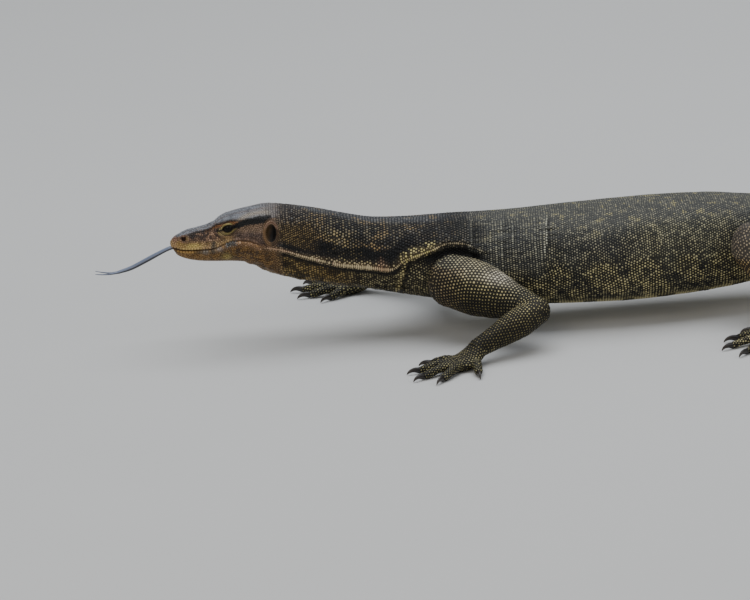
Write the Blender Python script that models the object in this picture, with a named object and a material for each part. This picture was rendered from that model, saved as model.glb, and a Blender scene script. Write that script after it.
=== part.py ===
"""Life-size water monitor lizard, walking with its tongue out, as separate solid pieces.

The animal faces -X, its left side is on -Y and the floor is z = 0. Stations along the body are
millimetres from the tip of the snout, along the curved spine, and the tables below hold
millimetres too; MM turns them into Blender's metres.
"""

import math

import bpy
import numpy as np
from mathutils import Matrix, Vector

MM = 0.001
GAP = 0.3
LEFT, RIGHT = -1, 1
SIDE_NAMES = {LEFT: "left", RIGHT: "right"}

# Where the snout tip stands, so that the origin is the middle of the animal's box on the floor.
SNOUT_X = -761.35
SNOUT_Y = -28.2

# The spine's heading, in degrees from straight back: the trunk bends a little and the tail winds.
HEADING = [(0, 0), (250, 0), (330, -3), (420, 0), (520, 5), (640, 7), (760, 3), (900, -9),
           (1050, -17), (1200, -8), (1350, 12), (1480, 26), (1640, 34)]
TAIL_TIP = 1640.0
SNOUT_ROUND = 9.0
TAIL_ROUND = 3.0
SNOUT_HEIGHT = 108.0

# Outline of the whole body: height of the back and of the belly, half width, the height at which
# it is widest, and how square the upper and lower halves of a section are (2 is an ellipse).
BACK = [(0, 112), (12, 117), (19, 120.4), (29, 122.4), (38, 124), (45, 126.2), (52, 131.2),
        (59, 134.6), (68, 136.8), (85, 139.2), (98, 140.8), (112, 140), (130, 137),
        (151, 132.2), (175, 125.2), (208, 117.8), (250, 115.6), (330, 115.4), (400, 117.5),
        (470, 118.5), (530, 116.5), (583, 110), (640, 101), (690, 90), (740, 74), (790, 57),
        (840, 46), (920, 40), (1160, 29), (1400, 17), (1600, 7), (1640, 4)]
BELLY = [(0, 104), (3, 102.6), (5, 99), (8, 95.6), (22, 90.2), (36, 88), (60, 86.6), (73, 85.2),
         (78, 82.2), (84, 80.6), (92, 75), (104, 69.2), (120, 63.8), (161, 54), (190, 48.5), (240, 38),
         (290, 28), (340, 23.5), (400, 20.5), (470, 19), (530, 21), (590, 27), (640, 33),
         (690, 33), (740, 23), (790, 9), (830, 1), (860, -1), (1640, -0.5)]
HALF_WIDTH = [(0, 7), (5, 9), (14, 10.6), (22, 11.3), (32, 12.8), (45, 15.4), (55, 17.8),
              (65, 20.2), (78, 23.6), (90, 26.6), (100, 27.2), (125, 26), (150, 28.5), (180, 33),
              (210, 39), (245, 45.5), (290, 51), (380, 57), (450, 60), (520, 57), (570, 51),
              (620, 42), (660, 35), (700, 29), (760, 24), (820, 20.5), (920, 15.5), (1040, 11.5),
              (1160, 8.8), (1400, 5), (1600, 2.4), (1640, 1.4)]
WIDEST = [(0, 107), (10, 105), (25, 104), (45, 106), (60, 108), (80, 108), (100, 107),
          (125, 100), (150, 93), (190, 84), (240, 74), (300, 66), (380, 62), (540, 63),
          (660, 62), (720, 52), (780, 33), (830, 22), (920, 16), (1160, 12), (1400, 7.5),
          (1640, 2)]
SQUARE_ABOVE = [(0, 2.2), (20, 2.4), (45, 2.8), (60, 3.2), (95, 3.0), (120, 2.4), (240, 2.2),
                (640, 2.2), (760, 2.0), (920, 1.7), (1640, 1.6)]
SQUARE_BELOW = [(0, 2.4), (40, 2.7), (75, 2.6), (95, 2.3), (150, 2.1), (260, 2.3), (400, 2.6),
                (600, 2.5), (760, 2.2), (1640, 2.2)]

# Heights of three lines on the side of the body: the closed mouth, the brow and the skin fold
# that runs from the corner of the mouth down the neck and up over the shoulder.
MOUTH = [(-10, 104.2), (3, 103.6), (15, 101.7), (27, 102.2), (40, 103.7), (52, 108), (62, 110.8),
         (74, 111.2), (83, 109.7), (90, 106.4), (96, 103.6)]
MOUTH_CORNER = 90.0
JAW_ANGLE = 98.0
BROW = [(36, 121.8), (43, 124.6), (50, 128.4), (63, 131.8), (76, 132.6), (103, 132)]
FOLD = [(92, 103), (112, 99), (130, 92), (155, 84), (171, 80), (195, 77), (220, 74), (232, 82),
        (264, 92), (279, 96.5), (293, 95.5), (308, 90), (330, 80)]

# Named places on the side of the head, as (station, height).
EYE = (61.0, 122.0)
EYE_RADIUS = 6.3
EYE_DEPTH = 12.2
EYE_SETBACK = 1.2
LID_OPENING = (7.0, 4.4)
LID_RADIUS = 1.25
NOSTRIL = (14.6, 114.9)
NOSTRIL_HALF = (3.0, 3.2, 2.4)
EAR = (102.3, 118.0)
EAR_OPENING = (4.9, 7.6)
EAR_RIM_RADIUS = 1.5
PLACE_LEAN = -8.0

# Where the body is cut into nodes, and how far apart its rings stand, as (from, step).
CUTS = [("head", 0, 113), ("neck", 113, 240), ("torso_front", 240, 445),
        ("torso_rear", 445, 690), ("tail_1", 690, 860), ("tail_2", 860, 1040),
        ("tail_3", 1040, 1230), ("tail_4", 1230, 1430), ("tail_5", 1430, TAIL_TIP)]
RING_STEPS = [(0, 2.2), (8, 3.7), (113, 9.5), (240, 15.5), (690, 20.0), (860, 24.0)]
HEAD_SIDES, BODY_SIDES, TAIL_SIDES = 36, 28, 14
TAIL_FINE_TO = 860

# Each limb: its joints as (station, how far from the spine's line, height), and the radii of its
# two long bones' flesh, upright and across, as (share of the way, upright, across).
LIMBS = {
    "fore_left": dict(side=LEFT, names=("upper_arm", "forearm", "hand"),
                      joints=((280, 44, 60), (366, 108, 39), (303, 150, 16)), toe_out=38),
    "fore_right": dict(side=RIGHT, names=("upper_arm", "forearm", "hand"),
                       joints=((280, 44, 60), (256, 128, 52), (196, 158, 16)), toe_out=14),
    "hind_left": dict(side=LEFT, names=("thigh", "shank", "foot"),
                      joints=((652, 26, 64), (566, 90, 82), (616, 130, 19)), toe_out=30),
    "hind_right": dict(side=RIGHT, names=("thigh", "shank", "foot"),
                       joints=((650, 26, 64), (664, 122, 66), (716, 152, 19)), toe_out=46),
}
FLESH = {
    "upper_arm": [(0, 28, 28), (0.3, 27.5, 26), (0.5, 24, 22), (0.75, 17.5, 17), (1, 13.5, 13.5)],
    "forearm": [(0, 13, 13), (0.3, 15.5, 15), (0.7, 12.5, 11.5), (1, 9.5, 10)],
    "thigh": [(0, 29, 31), (0.3, 30, 29), (0.7, 27, 24), (1, 23, 20)],
    "shank": [(0, 21, 19), (0.3, 21.5, 19), (0.7, 15, 13.5), (1, 11, 11)],
}
LIMB_SIDES = 12
LIMB_RINGS = 6

# Palms and soles: length and half widths from wrist to knuckles, half thickness, and each digit
# as (spread from the hand's line in degrees, length), thumb first.
PAWS = {
    "hand": dict(length=27, half_widths=(11, 15, 17), half_thickness=(9, 8.5, 7),
                 digits=((-52, 24), (-24, 36), (0, 43), (23, 43), (56, 30)), knuckles=13),
    "foot": dict(length=42, half_widths=(12, 15.5, 18), half_thickness=(10, 9, 7.5),
                 digits=((-38, 27), (-17, 41), (2, 54), (22, 64), (64, 38)), knuckles=14),
}
DIGIT_ARCH = ((-0.12, 6.0), (0.3, 7.2), (0.62, 6.2), (0.84, 4.6), (1, 3.6))
DIGIT_RADIUS = ((0, 6.2), (0.55, 5.4), (0.85, 5.0), (1, 3.9))
DIGIT_RINGS = 6
PALM_SIDES = 11
DIGIT_SIDES = 6
CLAW_LENGTH = 15.0
CLAW_RADII = (3.3, 2.1)
CLAW_BEND = 75.0
CLAW_STEPS = 4

# The tongue's line as (station, height), where it forks, and its half width and thickness.
TONGUE = [(6, 103.7), (0, 103.3), (-10, 100.6), (-25, 93.6), (-41, 86.4), (-53, 83.2)]
TINE = [(-53, 83.2), (-61, 82.4), (-68, 83), (-76, 84.4)]
TINE_SPREAD = 6.5
TONGUE_HALF = (3.4, 1.7)

MATERIALS = {
    "dark_scaled_skin": ((0.060, 0.055, 0.046), 0.55),
    "brown_head_skin": ((0.190, 0.125, 0.075), 0.55),
    "eye": ((0.010, 0.008, 0.007), 0.12),
    "claw_horn": ((0.045, 0.038, 0.032), 0.38),
    "tongue": ((0.075, 0.080, 0.110), 0.35),
}


def profile(pairs):
    """A smooth curve through (place, value) pairs that never overshoots them."""
    places = np.array([p[0] for p in pairs], float)
    values = np.array([p[1] for p in pairs], float)
    rise = np.diff(values) / np.diff(places)
    slope = np.concatenate([rise[:1], np.zeros(len(rise) - 1), rise[-1:]])
    same_way = rise[:-1] * rise[1:] > 0
    total = np.where(same_way, rise[:-1] + rise[1:], 1)
    slope[1:-1] = np.where(same_way, 2 * rise[:-1] * rise[1:] / total, 0)

    def at(x):
        x = np.clip(x, places[0], places[-1])
        k = np.clip(np.searchsorted(places, x) - 1, 0, len(rise) - 1)
        step = places[k + 1] - places[k]
        t = (x - places[k]) / step
        ends = (2 * t - 3) * t * t
        return (values[k] * (1 + ends) - values[k + 1] * ends
                + step * (slope[k] * (t - 2 * t * t + t ** 3) + slope[k + 1] * (t ** 3 - t * t)))

    return at


back, belly, half_width = profile(BACK), profile(BELLY), profile(HALF_WIDTH)
widest, square_above, square_below = profile(WIDEST), profile(SQUARE_ABOVE), profile(SQUARE_BELOW)
heading, mouth, brow, fold = profile(HEADING), profile(MOUTH), profile(BROW), profile(FOLD)

STATIONS = np.arange(0, TAIL_TIP + 1)
_ANGLES = np.radians(heading(STATIONS))
SPINE_X = SNOUT_X + np.concatenate([[0], np.cumsum(np.cos(_ANGLES))[:-1]])
SPINE_Y = SNOUT_Y + np.concatenate([[0], np.cumsum(np.sin(_ANGLES))[:-1]])


def on_body(s, out, z):
    """Points at station s, out to the right of the spine's line (left is negative), height z."""
    turn = np.radians(heading(s))
    x = np.where(s < 0, SNOUT_X + s, np.interp(s, STATIONS, SPINE_X)) - out * np.sin(turn)
    y = np.interp(s, STATIONS, SPINE_Y) + out * np.cos(turn)
    return np.stack(np.broadcast_arrays(x, y, z), -1)


def smooth_step(low, high, x):
    t = np.clip((x - low) / (high - low), 0, 1)
    return t * t * (3 - 2 * t)


def end_rounding(s):
    """1 along the body, falling to 0 in a quarter circle at the snout and at the tail's tip."""
    share = np.clip(np.minimum(s / SNOUT_ROUND, (TAIL_TIP - s) / TAIL_ROUND), 0, 1)
    return np.sqrt(1 - (1 - share) ** 2)


def section(s, sides):
    """One ring of the body, as sideways distances and heights, evenly spaced from the back."""
    fine = np.linspace(0, 2 * math.pi, 721)
    above = np.cos(fine) >= 0
    power = 2 / np.where(above, square_above(s), square_below(s))
    top = SNOUT_HEIGHT + (back(s) - SNOUT_HEIGHT) * end_rounding(s) if s < 100 else back(s)
    low = SNOUT_HEIGHT + (belly(s) - SNOUT_HEIGHT) * end_rounding(s) if s < 100 else belly(s)
    middle = widest(s)
    rise = np.where(above, top - middle, middle - low)
    out = -half_width(s) * end_rounding(s) * np.sign(np.sin(fine)) * np.abs(np.sin(fine)) ** power
    z = middle + rise * np.sign(np.cos(fine)) * np.abs(np.cos(fine)) ** power
    length = np.concatenate([[0], np.cumsum(np.hypot(np.diff(out), np.diff(z)))])
    even = np.linspace(0, length[-1], sides, endpoint=False)
    return np.interp(even, length, out), np.interp(even, length, z)


def place_share(s, z, place, half_sizes, lean=0.0):
    """How far (s, z) is from a named place, in units of its half sizes; lean is in degrees."""
    along, up = s - place[0], z - place[1]
    c, d = math.cos(math.radians(lean)), math.sin(math.radians(lean))
    return np.hypot((along * c + up * d) / half_sizes[0], (up * c - along * d) / half_sizes[1])


def relief(s, z, sideways):
    """How far the flesh stands out of the plain section, where it faces sideways that much."""
    side = smooth_step(0.25, 0.7, np.abs(sideways))
    from_brow = (z - brow(s)) / 2.6
    brow_run = smooth_step(34, 44, s) * (1 - smooth_step(96, 106, s))
    rise = 1.5 * brow_run * np.exp(-from_brow ** 2)
    rise -= 1.8 * np.exp(-place_share(s, z, EYE, (15, 7)) ** 2)
    rise -= 1.2 * np.exp(-place_share(s, z, (84, 124), (14, 6)) ** 2)
    rise += 2.2 * np.exp(-place_share(s, z, (82, 101), (12, 6)) ** 2)
    rise += 0.8 * np.exp(-place_share(s, z, NOSTRIL, (6, 5)) ** 2)
    lips = 1 - smooth_step(MOUTH_CORNER - 4, MOUTH_CORNER + 3, s)
    rise += 0.7 * lips * np.exp(-((np.abs(z - mouth(s)) - 2.4) / 1.7) ** 2)
    from_fold = z - fold(s)
    fold_run = smooth_step(92, 125, s) * (1 - smooth_step(306, 328, s))
    rise += 2.6 * fold_run * np.exp(-((from_fold - 2) / 7.0) ** 2)
    rise -= 3.2 * fold_run * np.exp(-((from_fold + 11) / 7.0) ** 2)
    return rise * side


def ring_stations(start, end):
    """Stations of the rings from start to end, closer where the form changes faster."""
    stations = [start]
    while stations[-1] < end:
        step = [gap for begin, gap in RING_STEPS if begin <= stations[-1]][-1]
        stations.append(min(stations[-1] + step, end))
    if len(stations) > 2 and stations[-1] - stations[-2] < 0.4 * (stations[-2] - stations[-3]):
        del stations[-2]
    return stations


def plain_ring(s, sides):
    """One ring of points round the body at station s, without its relief."""
    out, z = section(s, sides)
    return on_body(np.full(sides, float(s)), out, z)


def body_rings(stations, sides, grow=0.0):
    """Rings of points round the body, with its relief, and grown outwards by grow."""
    rings = []
    for s in stations:
        points = plain_ring(s, sides)
        along = plain_ring(min(s + 0.5, TAIL_TIP), sides) - plain_ring(max(s - 0.5, 0), sides)
        normals = np.cross(np.roll(points, -1, 0) - np.roll(points, 1, 0), along)
        normals /= np.maximum(np.linalg.norm(normals, axis=1, keepdims=True), 1e-9)
        rise = relief(np.full(sides, float(s)), points[:, 2], normals[:, 1])
        points = points + normals * (rise + grow)[:, None]
        points[:, 2] = np.maximum(points[:, 2], -grow)
        rings.append(points)
    return np.array(rings)


def closed(name, points, faces):
    """A mesh object from points in millimetres, turned so that its faces point outwards."""
    mesh = bpy.data.meshes.new(name)
    mesh.from_pydata([tuple(p) for p in np.asarray(points, float) * MM], [], faces)
    if sum(signed_volumes(mesh)) < 0:
        mesh.flip_normals()
    obj = bpy.data.objects.new(name, mesh)
    bpy.context.scene.collection.objects.link(obj)
    return obj


def signed_volumes(mesh):
    """Six times the volume between the origin and each triangle of the mesh."""
    corners = mesh.vertices
    return [corners[a].co.dot(corners[b].co.cross(corners[c].co))
            for a, b, c in (t.vertices for t in triangles(mesh))]


def lofted(name, rings, start_tip=None, end_tip=None):
    """A closed mesh object through rings of points in millimetres, each end a flat or a tip."""
    rings = np.asarray(rings)
    count, sides = rings.shape[:2]
    tips = [rings[0].mean(0) if start_tip is None else start_tip,
            rings[-1].mean(0) if end_tip is None else end_tip]
    faces = strips(count - 1, count, sides)
    first, last = count * sides, count * sides + 1
    for j in range(sides):
        k = (j + 1) % sides
        faces.append((first, k, j))
        faces.append((last, (count - 1) * sides + j, (count - 1) * sides + k))
    return closed(name, np.concatenate([rings.reshape(-1, 3), tips]), faces)


def lofted_loop(name, rings):
    """A closed mesh object through rings of points that come back to the first ring."""
    count, sides = rings.shape[:2]
    return closed(name, rings.reshape(-1, 3), strips(count, count, sides))


def strips(steps, count, sides):
    """Triangles between each of the first rings and the next."""
    faces = []
    for i in range(steps):
        here, there = i * sides, (i + 1) % count * sides
        for j in range(sides):
            k = (j + 1) % sides
            faces.append((here + j, here + k, there + j))
            faces.append((here + k, there + k, there + j))
    return faces


def triangles(mesh):
    mesh.calc_loop_triangles()
    return mesh.loop_triangles


def boolean(target, operation, others, solver="EXACT"):
    """Joins target with other closed objects or cuts it with them, and removes them."""
    group = bpy.data.collections.new("operands")
    bpy.context.scene.collection.children.link(group)
    for other in others:
        bpy.context.scene.collection.objects.unlink(other)
        group.objects.link(other)
    modifier = target.modifiers.new("join_or_cut", "BOOLEAN")
    modifier.operation = operation
    modifier.operand_type = "COLLECTION"
    modifier.collection = group
    modifier.solver = solver
    graph = bpy.context.evaluated_depsgraph_get()
    done = bpy.data.meshes.new_from_object(target.evaluated_get(graph))
    target.modifiers.clear()
    target.data = done
    for other in others:
        bpy.data.objects.remove(other)
    bpy.data.collections.remove(group)
    return target


def keep_largest(obj):
    """Leaves only the piece of the mesh that encloses the most."""
    mesh = obj.data
    parent = list(range(len(mesh.vertices)))

    def root(i):
        while parent[i] != i:
            parent[i] = parent[parent[i]]
            i = parent[i]
        return i

    for edge in mesh.edges:
        parent[root(edge.vertices[0])] = root(edge.vertices[1])
    volumes = {}
    for t in triangles(mesh):
        a, b, c = (mesh.vertices[i].co for i in t.vertices)
        group = root(t.vertices[0])
        volumes[group] = volumes.get(group, 0) + a.dot(b.cross(c))
    best = max(volumes, key=volumes.get)
    if len(volumes) > 1:
        keep = [p for p in mesh.polygons if root(p.vertices[0]) == best]
        used = sorted({v for p in keep for v in p.vertices})
        number = {v: i for i, v in enumerate(used)}
        new = bpy.data.meshes.new(mesh.name)
        new.from_pydata([mesh.vertices[v].co[:] for v in used], [],
                        [[number[v] for v in p.vertices] for p in keep])
        obj.data = new
    return obj


def finished(obj, material, group):
    """Shades the node, gives it its material and puts it in the lizard's collection."""
    obj.data.materials.clear()
    obj.data.materials.append(material)
    obj.data.shade_smooth()
    obj.data.set_sharp_from_angle(angle=math.radians(50))
    bpy.context.scene.collection.objects.unlink(obj)
    group.objects.link(obj)
    return obj


def ellipsoid(name, centre, half_sizes, turn=0.0, segments=16, rings=10):
    """A closed ball stretched to half sizes along x, y and z, leaning by turn degrees about y."""
    bpy.ops.mesh.primitive_uv_sphere_add(segments=segments, ring_count=rings, radius=1)
    obj = taken_over(name)
    place = (Matrix.Translation(Vector(centre) * MM) @ Matrix.Rotation(math.radians(turn), 4, "Y")
             @ Matrix.Diagonal((*(Vector(half_sizes) * MM), 1)))
    obj.data.transform(place)
    return obj


def taken_over(name):
    """The primitive just added, renamed and moved to the scene's own collection."""
    obj = bpy.context.object
    obj.name = name
    for collection in list(obj.users_collection):
        collection.objects.unlink(obj)
    bpy.context.scene.collection.objects.link(obj)
    return obj


def body_segment(name, start, end):
    """One length of head, trunk or tail, half a gap short of the cut at each end."""
    sides = HEAD_SIDES if start == 0 else BODY_SIDES if end <= TAIL_FINE_TO else TAIL_SIDES
    return lofted(name, body_rings(segment_stations(start, end), sides))


def segment_stations(start, end):
    """Stations of a node's rings, with half a gap left out at each cut and blunt tips."""
    first = start + GAP / 2 if start > 0 else 0.25
    last = end - GAP / 2 if end < TAIL_TIP else TAIL_TIP - 0.3
    return [first, *ring_stations(start, end)[1:-1], last]


def grown_trunk():
    """The trunk from neck to tail, a gap larger all round, which cuts the roots of the limbs."""
    stations = [s for name, start, end in CUTS[1:5] for s in segment_stations(start, end)]
    return lofted("grown_trunk", body_rings(stations, BODY_SIDES, 1.3 * GAP))


def eye_centre(side):
    return on_body(np.float64(EYE[0] + EYE_SETBACK), side * EYE_DEPTH, EYE[1])


def under_mouth(name, ease):
    """A block of the space under the mouth's line and ahead of the angle of the jaw."""
    line = [(s, float(mouth(s)) + ease) for s in np.linspace(-10, MOUTH_CORNER + ease, 18)]
    outline = [*line, (JAW_ANGLE + ease, 50), (-10, 50)]
    count = len(outline)
    points = [on_body(np.float64(s), out, z) for out in (-50, 50) for s, z in outline]
    faces = [(i, (i + 1) % count, count + (i + 1) % count, count + i) for i in range(count)]
    faces += [tuple(range(count))[::-1], tuple(range(count, 2 * count))]
    return closed(name, points, faces)


def side_of_head(s, z):
    """How far out the side of the plain head lies at a station and a height."""
    out, heights = section(s, 720)
    left = out < 0
    order = np.argsort(heights[left])
    return -float(np.interp(z, heights[left][order], out[left][order]))


def rim(name, side, place, half_sizes, radius, sides):
    """A closed ring of flesh round an opening in the side of the head."""
    lean = math.radians(PLACE_LEAN)
    line = []
    for angle in np.linspace(0, 2 * math.pi, sides, endpoint=False):
        along, up = half_sizes[0] * math.cos(angle), half_sizes[1] * math.sin(angle)
        s = place[0] + along * math.cos(lean) - up * math.sin(lean)
        z = place[1] + along * math.sin(lean) + up * math.cos(lean)
        line.append(on_body(np.float64(s), side * (side_of_head(s, z) - 0.4 * radius), z))
    line = np.array(line)
    centre = line.mean(0)
    turn = np.linspace(0, 2 * math.pi, 5, endpoint=False)[:, None]
    rings = []
    for point in line:
        away = (point - centre) / np.linalg.norm(point - centre)
        rings.append(point + radius * (np.cos(turn) * away + np.sin(turn) * [0, side, 0]))
    return lofted_loop(name, np.array(rings))


def head_and_jaw():
    """The head, with nostrils, rimmed ears and lidded eye sockets, parted along the mouth."""
    whole = body_segment("head", 0, CUTS[0][2])
    rims = []
    cutters = [grown_tongue()]
    for side in (LEFT, RIGHT):
        rims.append(rim("lids", side, EYE, LID_OPENING, LID_RADIUS, 14))
        rims.append(rim("ear_rim", side, EAR, [r + 1.2 for r in EAR_OPENING], EAR_RIM_RADIUS, 14))
        ball = EYE_RADIUS + GAP
        cutters.append(ellipsoid("socket", eye_centre(side), (ball, ball, ball), 0, 16, 10))
        out = side * (float(half_width(NOSTRIL[0])) - 1.2)
        cutters.append(ellipsoid("nostril", on_body(np.float64(NOSTRIL[0]), out, NOSTRIL[1]),
                                 NOSTRIL_HALF, 20, 10, 6))
        out = side * (float(half_width(EAR[0])) + 0.5)
        cutters.append(ellipsoid("ear", on_body(np.float64(EAR[0]), out, EAR[1]),
                                 (EAR_OPENING[0], 6.5, EAR_OPENING[1]), PLACE_LEAN, 14, 8))
    boolean(whole, "UNION", rims)
    boolean(whole, "DIFFERENCE", cutters)
    jaw = bpy.data.objects.new("lower_jaw", whole.data.copy())
    bpy.context.scene.collection.objects.link(jaw)
    boolean(jaw, "INTERSECT", [under_mouth("jaw_block", -GAP / 2)])
    boolean(whole, "DIFFERENCE", [under_mouth("skull_block", GAP / 2)])
    return keep_largest(whole), keep_largest(jaw)


def swept(line, half_wide, half_thick, sides):
    """Rings round a line of points: an oval across and upright, by the share of the way."""
    line = np.asarray(line, float)
    steps = np.linalg.norm(np.diff(line, axis=0), axis=1)
    share = np.concatenate([[0], np.cumsum(steps)]) / steps.sum()
    along = np.gradient(line, axis=0)
    along /= np.linalg.norm(along, axis=1, keepdims=True)
    across = np.cross(np.array([0, 0, 1.0]), along)
    across /= np.linalg.norm(across, axis=1, keepdims=True)
    up = np.cross(along, across)
    angles = np.linspace(0, 2 * math.pi, sides, endpoint=False)
    wide = np.array([half_wide(t) for t in share])[:, None, None]
    thick = np.array([half_thick(t) for t in share])[:, None, None]
    return (line[:, None] + wide * np.cos(angles)[None, :, None] * across[:, None]
            + thick * np.sin(angles)[None, :, None] * up[:, None])


def smooth_line(points, count):
    """Evenly spaced points on a smooth curve through a few given ones."""
    points = np.asarray(points, float)
    steps = np.linalg.norm(np.diff(points, axis=0), axis=1)
    place = np.concatenate([[0], np.cumsum(steps)])
    curves = [profile(list(zip(place, points[:, i]))) for i in range(3)]
    return np.stack([c(np.linspace(0, place[-1], count)) for c in curves], -1)


def tongue_pieces(grow):
    """The tongue's body and its two tines, each grown by grow."""
    body = smooth_line([on_body(np.float64(s), 0, z) for s, z in TONGUE], 10)
    wide, thick = TONGUE_HALF
    pieces = [lofted("tongue", swept(
        body, lambda t: wide * (1 - 0.22 * t) + grow, lambda t: thick * (1 - 0.2 * t) + grow, 8))]
    for side in (LEFT, RIGHT):
        spots = [(TINE[0][0] + 3, side * 1.1, TINE[0][1] + 1.0)]
        for i, (s, z) in enumerate(TINE):
            share = i / (len(TINE) - 1)
            spots.append((s, side * (1.3 + (TINE_SPREAD - 1.3) * share ** 1.4), z))
        line = smooth_line([on_body(np.float64(s), out, z) for s, out, z in spots], 7)
        pieces.append(lofted("tine", swept(
            line, lambda t: 1.25 - 1.0 * t + grow, lambda t: 1.15 - 0.9 * t + grow, 6)))
    return pieces


def grown_tongue():
    body, *tines = tongue_pieces(GAP)
    for tine in tines:
        bpy.data.objects.remove(tine)
    body.name = "grown_tongue"
    return body


def tongue():
    """The forked tongue, out of the notch between the lips."""
    body, *tines = tongue_pieces(0.0)
    body.name = "tongue"
    return keep_largest(boolean(body, "UNION", tines))


def limb_rings(start, end, flesh):
    """Rings round one long bone's flesh, round at both ends, and the two tips."""
    start, end = np.asarray(start, float), np.asarray(end, float)
    length = np.linalg.norm(end - start)
    along = (end - start) / length
    across = np.cross([0, 0, 1.0], along)
    across /= np.linalg.norm(across)
    up = np.cross(along, across)
    upright = profile([(t, a) for t, a, b in flesh])
    sideways = profile([(t, b) for t, a, b in flesh])
    caps = (0.85 * flesh[0][2], 0.85 * flesh[-1][2])
    angles = np.radians([28, 58])
    rows = [(0, -caps[0] * math.cos(a), math.sin(a)) for a in angles]
    rows += [(t, t * length, 1.0) for t in np.linspace(0, 1, LIMB_RINGS)]
    rows += [(1, length + caps[1] * math.cos(a), math.sin(a)) for a in angles[::-1]]
    turn = np.linspace(0, 2 * math.pi, LIMB_SIDES, endpoint=False)[:, None]
    rings = [start + along * place
             + np.cos(turn) * across * float(sideways(t)) * size
             + np.sin(turn) * up * float(upright(t)) * size
             for t, place, size in rows]
    return rings, start - along * caps[0], end + along * caps[1]


def limb_length(kind, start, end):
    """The flesh of one long bone, as a closed mesh object."""
    rings, start_tip, end_tip = limb_rings(start, end, FLESH[kind])
    return lofted(kind, rings, start_tip, end_tip)


def paw_lines(kind, side, wrist, toe_out):
    """The way the paw points, its palm's line on the floor and each digit's line."""
    paw = PAWS[kind]
    turn = math.radians(toe_out)
    ahead = np.array([-math.cos(turn), side * math.sin(turn), 0])
    outer = np.array([math.sin(turn), side * math.cos(turn), 0])
    wrist = np.array(wrist, float)
    knuckle = wrist + ahead * paw["length"]
    palm = [wrist - ahead * 2, (wrist + knuckle) / 2, knuckle]
    palm[1][2] = paw["half_thickness"][1] - 0.3
    palm[2][2] = paw["half_thickness"][2] - 1.0
    digits = []
    for number, (spread, length) in enumerate(paw["digits"]):
        angle = math.radians(spread)
        way = ahead * math.cos(angle) + outer * math.sin(angle)
        share = number / 2 - 1
        setback = paw["length"] * (0.3 * share ** 2 + (0.22 if number == 4 else 0))
        root = knuckle + outer * share * paw["knuckles"] - ahead * setback
        digits.append([(*(root + way * length * along)[:2], height)
                       for along, height in DIGIT_ARCH])
    return ahead, palm, digits


def paw_pieces(kind, palm, digits):
    """The palm or sole and its five digits, as closed mesh objects."""
    shape = PAWS[kind]
    wide = profile(list(zip((0, 0.5, 1), shape["half_widths"])))
    thick = profile(list(zip((0, 0.5, 1), shape["half_thickness"])))
    line = smooth_line(palm, 6)
    tip = line[-1] + (line[-1] - line[-2]) * 0.8
    rings = swept(line, lambda t: float(wide(t)), lambda t: float(thick(t)), PALM_SIDES)
    ends = swept([line[-1], tip], lambda t: shape["half_widths"][2] * 0.75,
                 lambda t: shape["half_thickness"][2] * 0.7, PALM_SIDES)
    radius = profile(DIGIT_RADIUS)
    return [lofted("palm", [*rings, ends[-1]])] + [
        lofted("digit", swept(smooth_line(spots, DIGIT_RINGS), lambda t: float(radius(t)),
                              lambda t: float(radius(t)) * 0.92, DIGIT_SIDES))
        for spots in digits]


def half_space(point, way):
    """A large block that fills all the space beyond a point, the way given."""
    bpy.ops.mesh.primitive_cube_add(size=2)
    block = taken_over("half_space")
    block.data.transform(Matrix.Translation((0, 0, 1)))
    turn = Vector(way).to_track_quat("Z", "Y").to_matrix().to_4x4()
    block.data.transform(Matrix.Translation(Vector(point) * MM) @ turn)
    return block


def unit(vector):
    return np.asarray(vector, float) / np.linalg.norm(vector)


def claw(name, digit):
    """A curved, flattened claw that starts a gap ahead of its digit's flat end."""
    line = smooth_line(digit, 8)
    way = line[-1] - line[-2]
    way /= np.linalg.norm(way)
    flat = np.array([way[0], way[1], 0])
    flat /= np.linalg.norm(flat)
    start = line[-1] + way * GAP
    lift = math.radians(12)
    spots = [start]
    steps = CLAW_STEPS
    for i in range(steps):
        pitch = lift - math.radians(CLAW_BEND) * (i + 0.5) / steps
        spots.append(spots[-1] + (flat * math.cos(pitch) + [0, 0, math.sin(pitch)])
                     * CLAW_LENGTH / steps)
    lowest = min(p[2] for p in spots)
    spots = [p + [0, 0, max(0, 0.9 - lowest) * i / steps] for i, p in enumerate(spots)]
    tall, across = CLAW_RADII
    rings = swept(spots, lambda t: across * (1 - t) ** 0.8 + 0.18,
                  lambda t: tall * (1 - t) ** 0.8 + 0.18, 5)
    ahead = np.array([*way])
    rings[0] += np.outer((start - rings[0]) @ ahead, ahead)
    rings[..., 2] = np.maximum(rings[..., 2], 0.35)
    return lofted(name, rings)


def material(name):
    """A Principled material with the node's own colour and roughness."""
    colour, roughness = MATERIALS[name]
    made = bpy.data.materials.new(name)
    made.use_nodes = True
    shader = made.node_tree.nodes["Principled BSDF"]
    shader.inputs["Base Color"].default_value = (*colour, 1)
    shader.inputs["Roughness"].default_value = roughness
    shader.inputs["Metallic"].default_value = 0
    return made


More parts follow.
